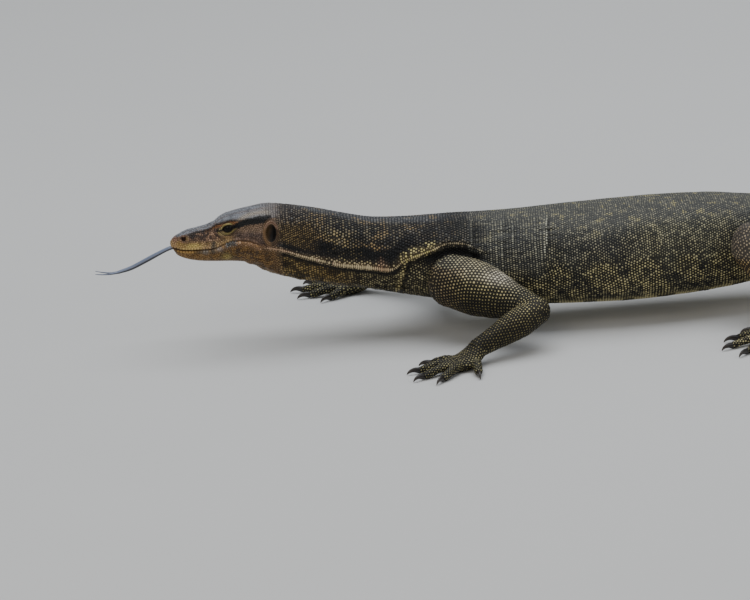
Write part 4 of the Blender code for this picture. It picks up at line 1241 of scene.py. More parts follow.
    def limbs(self, paint: Paint, where: Places) -> None:
        """Black limbs with cream beads, greyer on top partly by painted sky sheen, darker low side partly
        by painted shade, browner on the thigh, dimmer on the paws.
        """
        lay, grain, mottle, patch = paint.lay, paint.grain, paint.mottle, paint.patch
        paint.mask = where.on_limb
        lengths = np.array([plan.path_length[-1] for plan in self.anatomy.limbs] + [1.0])
        t = where.length / lengths[where.limb]
        lay(1.0, "060708", "d2c48a", 0.40 + 0.16 * grain + 0.08 * mottle)
        edge = np.array([plan.path[:, 2].max() for plan in self.anatomy.limbs] + [1.0])[where.limb]
        over_bone = where.z - edge * (1 - 0.45 * t)
        olive_and_shade_low_side = np.maximum(fall(28, 52, where.z), fall(-8, 9, over_bone) * (t < 0.62))
        # Darker low side of each limb: painted shade from the light above, with some of the skin's own
        # olive tint.
        lay(olive_and_shade_low_side * 0.9, "050504", "8d8050", 0.30 + 0.18 * grain)
        top = ramp(10, 19, over_bone) * (t < 0.62) * (0.35 + 0.65 * ramp(0.2, 0.36, t))
        # Greyer, paler top of each limb: partly its own grey and partly painted sky sheen.
        lay(top, "5d5850", "e2d9bf", 0.56 + 0.2 * grain)
        lay(hump(t, 0.5, 0.10) * 0.4, "101112", "a39d83", 0.38 + 0.1 * grain)
        lay(fall(0.0, 0.14, t) * 0.5, "101113", "8f8c74", 0.4 + 0.2 * grain)
        chest_side = fall(0.06, 0.22, t) * (where.s < 292) * (where.z < 78)
        lay(chest_side * 0.6, "17120e", "a08764", 0.46 + 0.2 * grain)
        hind = where.limb >= 2
        lay(hind * 0.9, "150f0a", "b89a68", 0.50 + 0.2 * grain + 0.12 * mottle)
        lay(hind * ramp(0.0, 0.6, patch) * 0.6, "33251a", "bd9f6c", 0.6)
        # The same painted sky sheen on the tops of the hind limbs.
        lay(hind * top * 0.7, "4e4944", "a0947f", 0.42 + 0.15 * grain)
        paw = fall(10, 20, where.z) * (t > 0.6)
        lay(paw, "0f1011", "a39a6d", 0.40 + 0.2 * grain + 0.1 * mottle)


def feed(tree: NodeTree, node: Node, links: dict) -> None:
    """Sets a node's inputs, each to a value or to the node or output that feeds it."""
    for socket, value in links.items():
        if isinstance(value, Node):
            value = value.outputs[0]
        if isinstance(value, NodeSocket):
            tree.links.new(value, node.inputs[socket])
        else:
            node.inputs[socket].default_value = value


def add_node(tree: NodeTree, kind: str, links: dict | None = None, **settings: object) -> Node:
    """Adds a node to a tree.

    Args:
        tree: the tree it goes in.
        kind: Blender's name of the node's type.
        links: for each input, by name or number, a value or what feeds it.
        settings: the node's own properties.

    Returns:
        The new node.
    """
    node = tree.nodes.new(kind)
    for name, value in settings.items():
        setattr(node, name, value)
    feed(tree, node, links or {})
    return node


def rgba(hex_code: str) -> tuple[float, float, float, float]:
    """A linear colour for a node's socket, from an sRGB hex value."""
    return (*colour(hex_code), 1.0)


def new_material(name: str, *carried: str) -> tuple[Material, NodeTree, list[NodeSocket]]:
    """A new material, its nodes, and a socket for each value that the mesh's points carry."""
    made = bpy.data.materials.new(name)
    made.use_nodes = True
    return made, made.node_tree, [
        add_node(made.node_tree, "ShaderNodeAttribute", attribute_name=value)
        .outputs["Color" if value in PAINTED else "Fac"] for value in carried]


def relief(tree: NodeTree, size: float, detail: float, strength: float,
           depth: float) -> tuple[Node, Node]:
    """Fine lumps on a surface.

    Args:
        tree: the material's nodes.
        size: the width of one lump, in millimetres.
        detail: how many finer layers the noise has.
        strength: how strongly the lumps show, from 0 to 1.
        depth: how deep they go, in millimetres.

    Returns:
        The noise and the bump that it makes.
    """
    place = add_node(tree, "ShaderNodeTexCoord")
    lumps = add_node(tree, "ShaderNodeTexNoise", {
        "Vector": place.outputs["Object"], "Scale": 1 / (size * MM), "Detail": detail})
    return lumps, add_node(tree, "ShaderNodeBump", {
        "Height": lumps, "Strength": strength, "Distance": depth * MM})


def finished(made: Material, sockets: dict) -> Material:
    """The material, with its Principled shader's sockets set or fed."""
    feed(made.node_tree, made.node_tree.nodes["Principled BSDF"], sockets)
    return made


@dataclass(frozen=True)
class HideFinish:
    """Bare monitor hide between the scales: dull, wrinkled and darker than the scales on it."""

    roughness: float = 0.60
    specular: float = 0.25
    darkening: float = 0.35
    spot_share: float = 0.10
    pore_size: float = 0.5

    def material(self) -> Material:
        """Builds the material; it reads the markings that the skin's points carry."""
        made, tree, (ground, spot, amount) = new_material("monitor_hide", "ground", "spot", "amount")
        share = add_node(tree, "ShaderNodeMath", {0: amount, 1: self.spot_share}, operation="MULTIPLY")
        dark = add_node(tree, "ShaderNodeMix", {
            "Factor": self.darkening, 6: ground, 7: rgba("060606")}, data_type="RGBA")
        marked = add_node(tree, "ShaderNodeMix", {
            "Factor": share, 6: dark.outputs[2], 7: spot}, data_type="RGBA")
        return finished(made, {
            "Base Color": marked.outputs[2], "Normal": relief(tree, self.pore_size, 3.0, 0.5, 0.15)[1],
            "Roughness": self.roughness, "Specular IOR Level": self.specular})


@dataclass(frozen=True)
class ScaleFinish:
    """Keratin of the scales: a satin bead, dark at its foot, with a pale crown on marked scales."""

    name: str
    roughness: float = 0.42
    specular: float = 0.2
    grain_size: float = 0.7
    wide_spot: float = 0.46
    soft_edge: float = 0.09

    def material(self) -> Material:
        """Builds the material; crown tells how near the middle of its scale a point is."""
        made, tree, (ground, spot, amount, crown) = new_material(
            self.name, "ground", "spot", "amount", "crown")
        grain, bump = relief(tree, self.grain_size, 2.0, 0.35, 0.12)
        edge = add_node(tree, "ShaderNodeMath", {
            0: amount, 1: -self.wide_spot, 2: 0.93}, operation="MULTIPLY_ADD")
        low = add_node(tree, "ShaderNodeMath", {0: edge, 1: self.soft_edge}, operation="SUBTRACT")
        high = add_node(tree, "ShaderNodeMath", {0: edge, 1: self.soft_edge})
        mask = add_node(tree, "ShaderNodeMapRange", {
            "Value": crown, "From Min": low, "From Max": high}, interpolation_type="SMOOTHSTEP")
        strength = add_node(tree, "ShaderNodeMapRange", {
            "Value": amount, "From Min": 0.0, "From Max": 0.55, "To Min": 0.15})
        spotted = add_node(tree, "ShaderNodeMath", {0: mask, 1: strength}, operation="MULTIPLY")
        marked = add_node(tree, "ShaderNodeMix", {
            "Factor": spotted, 6: ground, 7: spot}, data_type="RGBA")
        shade = add_node(tree, "ShaderNodeMapRange", {
            "Value": grain, "From Min": 0.3, "From Max": 0.7, "To Min": 0.78, "To Max": 1.15})
        worn = add_node(tree, "ShaderNodeVectorMath", {
            0: marked.outputs[2], "Scale": shade}, operation="SCALE")
        return finished(made, {"Base Color": worn, "Normal": bump, "Roughness": self.roughness,
                               "Specular IOR Level": self.specular})


@dataclass(frozen=True)
class EyeFinish:
    """A wet lizard's eye: nearly black iris with a faint brown ring under a clear, wet cornea."""

    iris: str = "09090b"
    ring: str = "15100c"
    pupil: str = "050505"
    white: str = "0d0a08"
    pupil_share: float = 0.10
    iris_share: float = 0.24

    def material(self) -> Material:
        """Builds the material; gaze is 0 where the eye looks and 1 at its back."""
        made, tree, (gaze,) = new_material("wet_eye", "gaze")
        tone = add_node(tree, "ShaderNodeValToRGB", {"Fac": gaze})
        bands = tone.color_ramp.elements
        bands[0].position = self.pupil_share
        bands[0].color = rgba(self.pupil)
        bands[1].position = self.iris_share + 0.04
        bands[1].color = rgba(self.white)
        for position, code in ((self.pupil_share + 0.015, self.ring), (self.iris_share, self.iris)):
            bands.new(position).color = rgba(code)
        return finished(made, {"Base Color": tone, "Roughness": 0.4, "Coat Weight": 0.4,
                               "Coat Roughness": 0.02, "Coat IOR": 1.36, "Specular IOR Level": 0.05})


@dataclass(frozen=True)
class BlendFinish:
    """A lumpy surface that passes from one tone to another by a value that its points carry."""

    name: str
    carried: str
    start: str
    end: str
    lumps: tuple[float, float, float, float]
    sockets: tuple[tuple[str, float], ...]

    def material(self) -> Material:
        """Builds the material."""
        made, tree, (value,) = new_material(self.name, self.carried)
        tone = add_node(tree, "ShaderNodeMix", {
            "Factor": value, 6: rgba(self.start), 7: rgba(self.end)}, data_type="RGBA")
        return finished(made, {"Base Color": tone.outputs[2], "Normal": relief(tree, *self.lumps)[1],
                               **dict(self.sockets)})


# Claw horn: dark, fibrous along its length and a little polished, paler at the worn tip.
CLAW_HORN = BlendFinish("claw_horn", "reach", "15120f", "3a3129", (0.6, 4.0, 0.3, 0.1),
                        (("Roughness", 0.33),))
# Wet tongue flesh: painted shade makes it nearly black below and painted sheen makes it slate above, set
# by how far its surface faces up.
TONGUE_FLESH = BlendFinish("wet_tongue_flesh", "upward", "17151d", "6d7890", (0.6, 3.0, 0.25, 0.1),
                           (("Roughness", 0.30), ("Coat Weight", 0.4), ("Coat Roughness", 0.12)))


@dataclass(frozen=True)
class FloorFinish:
    """Matt painted studio floor, pale, with the faintest unevenness of a rolled coat of paint."""

    tone: str = "c9c9c6"
    cloud: str = "cdcdca"
    roughness: float = 0.75

    def material(self) -> Material:
        """Builds the material."""
        made, tree, _ = new_material("matt_floor_paint")
        place = add_node(tree, "ShaderNodeTexCoord")
        cloud = add_node(tree, "ShaderNodeTexNoise", {
            "Vector": place.outputs["Object"], "Scale": 3.0, "Detail": 2.0})
        tone = add_node(tree, "ShaderNodeMix", {
            "Factor": cloud, 6: rgba(self.tone), 7: rgba(self.cloud)}, data_type="RGBA")
        return finished(made, {"Base Color": tone.outputs[2], "Roughness": self.roughness})


def store(mesh: Mesh, name: str, values: Array) -> None:
    """Writes an attribute on the mesh's points: numbers, vectors or colours by their width."""
    values = np.asarray(values, np.float32)
    if values.ndim == 1:
        kind, key, flat = "FLOAT", "value", values
    elif name in PAINTED:
        kind, key = "FLOAT_COLOR", "color"
        flat = np.concatenate([values, np.ones((len(values), 1), np.float32)], 1)
    else:
        kind, key, flat = "FLOAT_VECTOR", "vector", values
    mesh.attributes.new(name, kind, "POINT").data.foreach_set(key, flat.ravel())


def store_paint(mesh: Mesh, paint: Paint) -> None:
    """Writes the markings on the mesh's points."""
    for name in (*PAINTED, "amount"):
        store(mesh, name, getattr(paint, name))


class Surface:
    """The finished skin, to find the nearest place on it and its facing there."""

    def __init__(self, mesh: Mesh) -> None:
        """Reads the mesh's points, normals and triangles."""
        self.points = points_of(mesh)
        self.normals = normals_of(mesh)
        mesh.calc_loop_triangles()
        self.triangles = triples(mesh.loop_triangles, "vertices", np.int32)
        self.tree = BVHTree.FromPolygons(self.points.tolist(), self.triangles.tolist())

    def facing(self, triangle: Array) -> Array:
        """The smooth normal of each triangle."""
        return unit(self.normals[self.triangles[triangle]].mean(1))

    def nearest(self, points: Array) -> tuple[Array, Array]:
        """The nearest place on the skin to each point, and its facing."""
        found = [self.tree.find_nearest(Vector(point)) for point in points]
        places = np.array([hit[0] for hit in found])
        return places, self.facing(np.array([hit[2] for hit in found]))

    def cast(self, starts: Array, ways: Array, reach: float) -> tuple[Array, Array]:
        """Where rays meet the skin.

        Args:
            starts: where each ray starts.
            ways: its direction.
            reach: how far it goes, in millimetres.

        Returns:
            The distance to the skin, or infinity, and the number of the triangle it meets.
        """
        away = np.full(len(starts), np.inf)
        triangle = np.zeros(len(starts), int)
        for i, (start, way) in enumerate(zip(starts, ways)):
            place, _, number, distance = self.tree.ray_cast(Vector(start), Vector(way), reach)
            if place is not None:
                away[i], triangle[i] = distance, number
        return away, triangle


@dataclass
class Roots:
    """Where scales grow: place, facing, the way they lie, their size and their family."""

    point: Array
    facing: Array
    lie: Array
    size: Array
    family: Array

    @staticmethod
    def joined(*parts: "Roots") -> "Roots":
        """Several sets of roots as one."""
        return Roots(*(np.concatenate([getattr(part, item.name) for part in parts])
                       for item in fields(Roots)))

    def kept(self, mask: Array) -> "Roots":
        """Only the roots that a mask or a list of numbers chooses."""
        return Roots(*(getattr(self, item.name)[mask] for item in fields(Roots)))

    def pitch(self) -> Array:
        """Each scale's mean pitch."""
        return np.sqrt(self.size[:, 0] * self.size[:, 1])


@dataclass(frozen=True)
class Zone:
    """A stretch of the body with scales of like size, between two shares of the way round."""

    start: float
    end: float
    from_share: float
    to_share: float
    along: float
    across: float
    height: float
    drift: float = 0.7


@dataclass
class ScaleRows:
    """Lays the animal's scales out in rows over the skin."""

    anatomy: Anatomy
    surface: Surface
    zones: tuple[Zone, ...] = (
        Zone(98.5, 117, 0.0, 0.34, 2.2, 2.2, 0.30, 0.8),
        Zone(106, 150, 0.30, 0.60, 2.1, 2.3, 0.40, 0.8),
        Zone(117, 160, 0.0, 0.33, 2.5, 2.8, 0.50, 1.0),
        Zone(160, 300, 0.0, 0.33, 2.9, 3.3, 0.65, 1.4),
        Zone(150, 258, 0.33, 0.60, 2.6, 2.9, 0.50, 1.4),
        Zone(98, 258, 0.60, 1.01, 2.4, 2.6, 0.42, 1.8),
        Zone(300, 374, 0.12, 0.50, 2.75, 2.15, 0.55, 0.5),
        Zone(258, 690, 0.0, 0.45, 2.3, 2.7, 0.45, 1.3),
        Zone(258, 690, 0.45, 0.82, 2.6, 2.9, 0.48, 1.4),
        Zone(258, 690, 0.82, 1.01, 3.5, 4.1, 0.30),
        Zone(690, 860, 0.0, 1.01, 3.2, 3.1, 0.45),
        Zone(860, 1250, 0.0, 1.01, 4.3, 2.9, 0.50),
        Zone(1250, 1638, 0.0, 1.01, 4.3, 2.4, 0.35),
    )
    upper_limb: tuple[float, float, float] = (3.4, 3.4, 0.60)
    lower_limb: tuple[float, float, float] = (3.0, 3.0, 0.50)
    digit: tuple[float, float, float] = (2.6, 2.6, 0.40)
    limb_rays: int = 40
    least_ray_hits: int = 6
    head_rounds: int = 4
    head_gap: float = 0.80
    bare_gap: float = 0.86
    same_family_gap: float = 0.62
    other_family_gap: float = 0.36
    widest_gap: float = 4.2
    seed: int = 7

    def __post_init__(self) -> None:
        """Starts the seeded generator that the few random choices draw from."""
        self.random = np.random.default_rng(self.seed)
        self.families = itertools.count()

    def roots(self, point: Array, facing: Array, lie: Array, size: tuple[float, float, float]) -> Roots:
        """One family of roots that share a size."""
        count = len(point)
        return Roots(np.asarray(point), np.asarray(facing), np.broadcast_to(lie, (count, 3)).copy(),
                     np.tile(np.array(size, float), (count, 1)), np.full(count, next(self.families)))

    def zone_rows(self, zone: Zone) -> Roots:
        """Staggered rows round the body, each at one station."""
        plan = self.anatomy.plan
        starts, ways, lies, depths = [], [], [], []
        for number, s in enumerate(np.arange(zone.start, zone.end, zone.along)):
            out, z, length = plan.section(s)
            arcs = (np.arange(0, length[-1] / 2 / zone.across) + 0.5 * (number % 2)) * zone.across
            arcs = np.concatenate([arcs, length[-1] - arcs[arcs > 0]])
            here_out, here_z = np.interp(arcs, length, out), np.interp(arcs, length, z)
            share = plan.turn_share(np.full(len(arcs), s), here_out, here_z)
            inside = (share >= zone.from_share) & (share < zone.to_share)
            if not inside.any():
                continue
            arcs = arcs[inside]
            grid = np.stack([np.full(len(arcs), s), arcs, np.zeros(len(arcs))], -1)
            station = s + zone.drift * noise(grid, 19, 51) + self.random.normal(0, 0.12, len(arcs))
            arcs = arcs + zone.drift * noise(grid, 19, 52) + self.random.normal(0, 0.14, len(arcs))
            here_out, here_z = np.interp(arcs, length, out), np.interp(arcs, length, z)
            apart = length + 1e-6 * np.arange(plan.ring_points)
            normal_out = np.interp(arcs, length, np.gradient(z, apart))
            normal_z = -np.interp(arcs, length, np.gradient(out, apart))
            turn = math.radians(float(plan.heading(s)))
            way = unit(np.stack([-normal_out * math.sin(turn), normal_out * math.cos(turn),
                                 normal_z], -1))
            centre = plan.place(s, 0.0, float(plan.widest(s)))
            point = plan.place(station, here_out, here_z)
            way *= np.sign(np.sum((point - centre) * way, 1, keepdims=True))
            depth = np.minimum(10.0, 0.6 * np.linalg.norm(point - centre, axis=1))
            starts.append(point - way * depth[:, None])
            ways.append(way)
            depths.append(depth)
            lies.append(np.tile([math.cos(turn), math.sin(turn), 0.0], (len(arcs), 1)))
        starts, ways = np.concatenate(starts), np.concatenate(ways)
        depths, lies = np.concatenate(depths), np.concatenate(lies)
        away, triangle = self.surface.cast(starts, ways, 30)
        off = away - depths
        good = (off > -8) & (off < 4.5)
        found = self.roots(starts[good] + ways[good] * away[good][:, None],
                           self.surface.facing(triangle[good]), lies[good],
                           (zone.along, zone.across, zone.height))
        return found.kept(self.anatomy.describe(found.point).on_limb < 0.5)

    def limb_rows(self, line: Array, size: tuple[float, float, float], reach: float,
                  on_limb: bool = True) -> Roots:
        """Staggered rings of scales round a limb or a digit.

        Args:
            line: points along its middle.
            size: pitch along and across, and height.
            reach: how far from the line its surface can be.
            on_limb: whether roots that lie on the trunk are dropped.

        Returns:
            The roots on the skin.
        """
        length = lengths_along(line)
        centres = on_line(np.arange(0, length[-1], size[0]), length, line)
        tangents = unit(np.gradient(centres, axis=0))
        rays = self.limb_rays
        angle = np.linspace(0, TURN, rays, endpoint=False)[:, None]
        points, lies = [], []
        for number, (centre, tangent) in enumerate(zip(centres, tangents)):
            side = unit(np.cross(tangent, UP))
            up = np.cross(side, tangent)
            ways = np.sin(angle) * side + np.cos(angle) * up
            away, _ = self.surface.cast(np.tile(centre, (rays, 1)), ways, reach)
            good = np.isfinite(away)
            if good.sum() < self.least_ray_hits:
                continue
            ring = centre + ways * np.where(good, away, reach)[:, None]
            ring = np.concatenate([ring, ring[:1]])
            arc = lengths_along(ring)
            count = max(6, round(arc[-1] / size[1]))
            at = (np.arange(count) + 0.5 * (number % 2)) * arc[-1] / count
            nearest_ray = np.round(np.interp(at, arc, np.arange(rays + 1))).astype(int) % rays
            spot = on_line(at, arc, ring)[good[nearest_ray]]
            points.append(spot)
            lies.append(np.tile(tangent, (len(spot), 1)))
        points, facings = self.surface.nearest(np.concatenate(points))
        found = self.roots(points, facings, np.concatenate(lies), size)
        if on_limb:
            found = found.kept(self.anatomy.describe(points).on_limb > 0.4)
        return found

    def side_row(self, line: Array, side: Side, size: tuple[float, float, float]) -> Roots:
        """One row of scales along a line of (station, height) on the side of the head or neck."""
        plan = self.anatomy.plan
        line = np.asarray(line, float)
        length = np.concatenate([[0], np.cumsum(np.hypot(*np.diff(line, axis=0).T))])
        at = np.arange(size[0] / 2, length[-1], size[0])
        s, z = np.interp(at, length, line[:, 0]), np.interp(at, length, line[:, 1])
        out = side * (plan.half_width(s) + 14)
        starts = plan.place(s, out, z)
        ends = plan.place(s, 0 * out, z)
        way = unit(ends - starts)
        away, triangle = self.surface.cast(starts, way, 40)
        good = np.isfinite(away) & (np.sum(self.surface.facing(triangle) * way, 1) < -0.3)
        point = starts + way * np.where(good, away, 0)[:, None]
        lie = unit(np.gradient(point, axis=0))
        return self.roots(point[good], self.surface.facing(triangle[good]), lie[good], size)

    def lip_plates(self) -> Roots:
        """The plates along both lips and the larger ones over the eyes."""
        plan = self.anatomy.plan
        rows = []
        for side in Side:
            s = np.linspace(1.5, plan.mouth_corner - 2, 120)
            for lift, tall in ((1.9, 3.0), (-1.8, 2.7)):
                line = np.stack([s, plan.mouth(s) + lift], -1)
                rows.append(self.side_row(line, side, (2.9, tall, 0.42)))
        return Roots.joined(*rows)

    def head_rows(self) -> Roots:
        """Small scales in rings round the eyes and ears and along the brow."""
        rings = [(EYE, share, (pitch, 1.35, 0.35)) for share, pitch in ((1.22, 1.25), (1.52, 1.5),
            (1.86, 1.75))]
        rings += [(EAR, share, (pitch, 1.7, 0.40)) for share, pitch in ((1.12, 1.5), (1.36, 1.9),
            (1.62, 2.1))]
        s = np.linspace(40, 92, 60)
        brow = np.stack([s, self.anatomy.plan.brow(s) - 0.1], -1)
        rows = []
        for side in Side:
            for spot, share, size in rings:
                ring = spot.ring(share, 90)
                rows.append(self.side_row(np.concatenate([ring, ring[:1]]), side, size))
            rows.append(self.side_row(brow, side, (2.2, 1.9, 0.36)))
        return Roots.joined(*rows)

    def fold_rows(self) -> Roots:
        """The tall cream scales along the neck's fold."""
        plan = self.anatomy.plan
        tall = Curve((97, 2.2), (130, 3.4), (150, 4.8), (175, 6.4), (212, 6.2), (232, 3.6), (318, 3.0))
        rows = []
        for side in Side:
            s = np.linspace(97, 318, 400)
            row = self.side_row(np.stack([s, plan.fold(s) + 0.9], -1), side, (2.1, 5.0, 0.55))
            station, _ = plan.locate(row.point)
            row.size[:, 1] = tall(station) * (1 + 0.2 * self.random.normal(0, 1, len(station)).clip(-1, 1))
            rows.append(row)
        return Roots.joined(*rows)

    def head_pitch(self, where: Places) -> Array:
        """The distance between head scales at each place."""
        s, z, share = where.s, where.z, where.share
        pitch = np.full(len(s), 1.95)
        pitch += 0.35 * fall(0.10, 0.22, share) * fall(88, 100, s)
        pitch += 0.5 * ramp(100, 113, s)
        pitch += 0.35 * ramp(0.72, 0.85, share)
        pitch -= 0.45 * fall(1.8, 3.2, EYE.share(s, z)) * (share < 0.6)
        return pitch

    def scattered(self, candidates: Array, pitch: Array, others: Array,
                  closeness: float) -> Array:
        """Chooses places that keep their distance from one another and from other roots.

        Args:
            candidates: places on the skin.
            pitch: the distance wanted at each.
            others: roots that are there already.
            closeness: the least distance, as a share of the pitch.

        Returns:
            The numbers of the chosen candidates.
        """
        free = np.ones(len(candidates), bool)
        tree = near_tree(candidates)
        if len(others):
            taken = near_tree(others)
            free = np.array([taken.find(point)[2] for point in candidates]) > closeness * pitch
        chosen = []
        for i in self.random.permutation(len(candidates)):
            if not free[i]:
                continue
            chosen.append(i)
            for _, j, _ in tree.find_range(candidates[i], closeness * pitch[i]):
                free[j] = False
        return np.array(chosen, int)

    def head_scales(self, fixed: Roots) -> Roots:
        """Irregular small scales over the rest of the head, evened out by a few rounds."""
        candidates = self.surface.points
        candidates = candidates[candidates[:, 0] < self.anatomy.plan.snout[0] + 122]
        where = self.anatomy.describe(candidates)
        open_skin = (where.s < 112) & self.bare_allowed(where)
        open_skin &= (where.s < 98.5) | (where.share > 0.34)
        candidates = candidates[open_skin]
        pitch = self.head_pitch(self.anatomy.describe(candidates))
        chosen = self.scattered(candidates, pitch, fixed.point, self.head_gap)
        points = candidates[chosen].copy()
        for _ in range(self.head_rounds):
            everyone = np.concatenate([points, fixed.point])
            tree = near_tree(everyone)
            owner = np.array([tree.find(point)[1] for point in candidates])
            count = np.bincount(owner, minlength=len(everyone))[:len(points)]
            for axis in range(3):
                total = np.bincount(owner, candidates[:, axis], len(everyone))[:len(points)]
                points[:, axis] = np.where(count > 0, total / np.maximum(count, 1), points[:, axis])
        points, facing = self.surface.nearest(points)
        where = self.anatomy.describe(points)
        found = self.roots(points, facing, (1.0, 0, 0), (0.95, 1.02, 0.13))
        found.size *= self.head_pitch(where)[:, None]
        return found.kept(self.bare_allowed(where))

    def bare_allowed(self, where: Places) -> Array:
        """Where scales may grow: not in the eyes, ears, nostrils, mouth line or under the soles."""
        plan = self.anatomy.plan
        s, z = where.s, where.z
        closed = np.zeros(len(s), bool)
        for spot, reach in ((EYE, 1.08), (NOSTRIL, 0.8), (EAR, 0.86)):
            closed |= spot.share(s, z) < reach
        closed &= (where.share > 0.12) & (where.on_limb < 0.5)
        closed |= (np.abs(z - plan.mouth(s)) < 0.55 - 0.3 * ramp(26, 40, s)) & (s < plan.mouth_corner)
        closed |= z < 0.5
        return ~closed

    def thinned(self, roots: Roots) -> Roots:
        """Drops roots that stand too close to an earlier one, as where rows of two fields meet."""
        reach, least = roots.pitch(), roots.size[:, :2].min(1)
        tree = near_tree(roots.point)
        keep = np.ones(len(roots.point), bool)
        for i, point in enumerate(roots.point):
            if not keep[i]:
                continue
            for _, j, gap in tree.find_range(point, self.widest_gap):
                if j <= i or not keep[j]:
                    continue
                same = roots.family[i] == roots.family[j]
                limit = (self.same_family_gap * min(least[i], least[j]) if same
                         else self.other_family_gap * (reach[i] + reach[j]))
                if gap < limit:
                    keep[j] = False
        return roots.kept(keep)

    def filled(self, roots: Roots) -> Roots:
        """Adds roots where the rows leave the skin bare, sized like their neighbours."""
        centres = self.surface.points[self.surface.triangles].mean(1)
        candidates = np.concatenate([self.surface.points, centres])
        candidates = candidates[self.bare_allowed(self.anatomy.describe(candidates))]
        tree = near_tree(roots.point)
        _, owner, gap = (np.array(item) for item in zip(*(tree.find(point) for point in candidates)))
        pitch = roots.pitch()[owner]
        bare = gap > self.bare_gap * pitch
        candidates, pitch, owner = candidates[bare], pitch[bare], owner[bare]
        chosen = self.scattered(candidates, pitch, np.zeros((0, 3)), self.bare_gap)
        points, facing = self.surface.nearest(candidates[chosen])
        owner = owner[chosen]
        added = self.roots(points, facing, roots.lie[owner], (1, 1, 1))
        added.size = roots.size[owner].copy()
        added.size[:, :2] = 0.95 * pitch[chosen][:, None]
        return Roots.joined(roots, added)

    def all_roots(self) -> tuple[Roots, Roots]:
        """The plates of the lips, and every other scale."""
        lips = self.lip_plates()
        fixed = Roots.joined(lips, self.head_rows(), self.fold_rows())
        parts = [fixed, self.head_scales(fixed)]
        for zone in self.zones:
            parts.append(self.zone_rows(zone))
            log.info("rows from %d: %d scales", zone.start, len(parts[-1].point))
        for limb in self.anatomy.limbs:
            middle = limb.path_length[-1] * 0.52
            upper = limb.path[limb.path_length < middle]
            lower = np.concatenate([limb.path[limb.path_length >= middle], limb.palm[1:]])
            parts.append(self.limb_rows(upper, self.upper_limb, 46))
            parts.append(self.limb_rows(lower, self.lower_limb, 34))
            parts += [self.limb_rows(smooth_line(spots, 18), self.digit, 10, on_limb=False)
                      for spots in limb.digits]
        roots = Roots.joined(*parts)
        where = self.anatomy.describe(roots.point)
        roots = self.thinned(roots.kept(self.bare_allowed(where) & (roots.point[:, 2] > 0.5)))
        log.info("scales in rows: %d", len(roots.point))
        roots = self.filled(roots)
        log.info("scales in all: %d", len(roots.point))
        plates = roots.family <= lips.family.max()
        return roots.kept(plates), roots.kept(~plates)


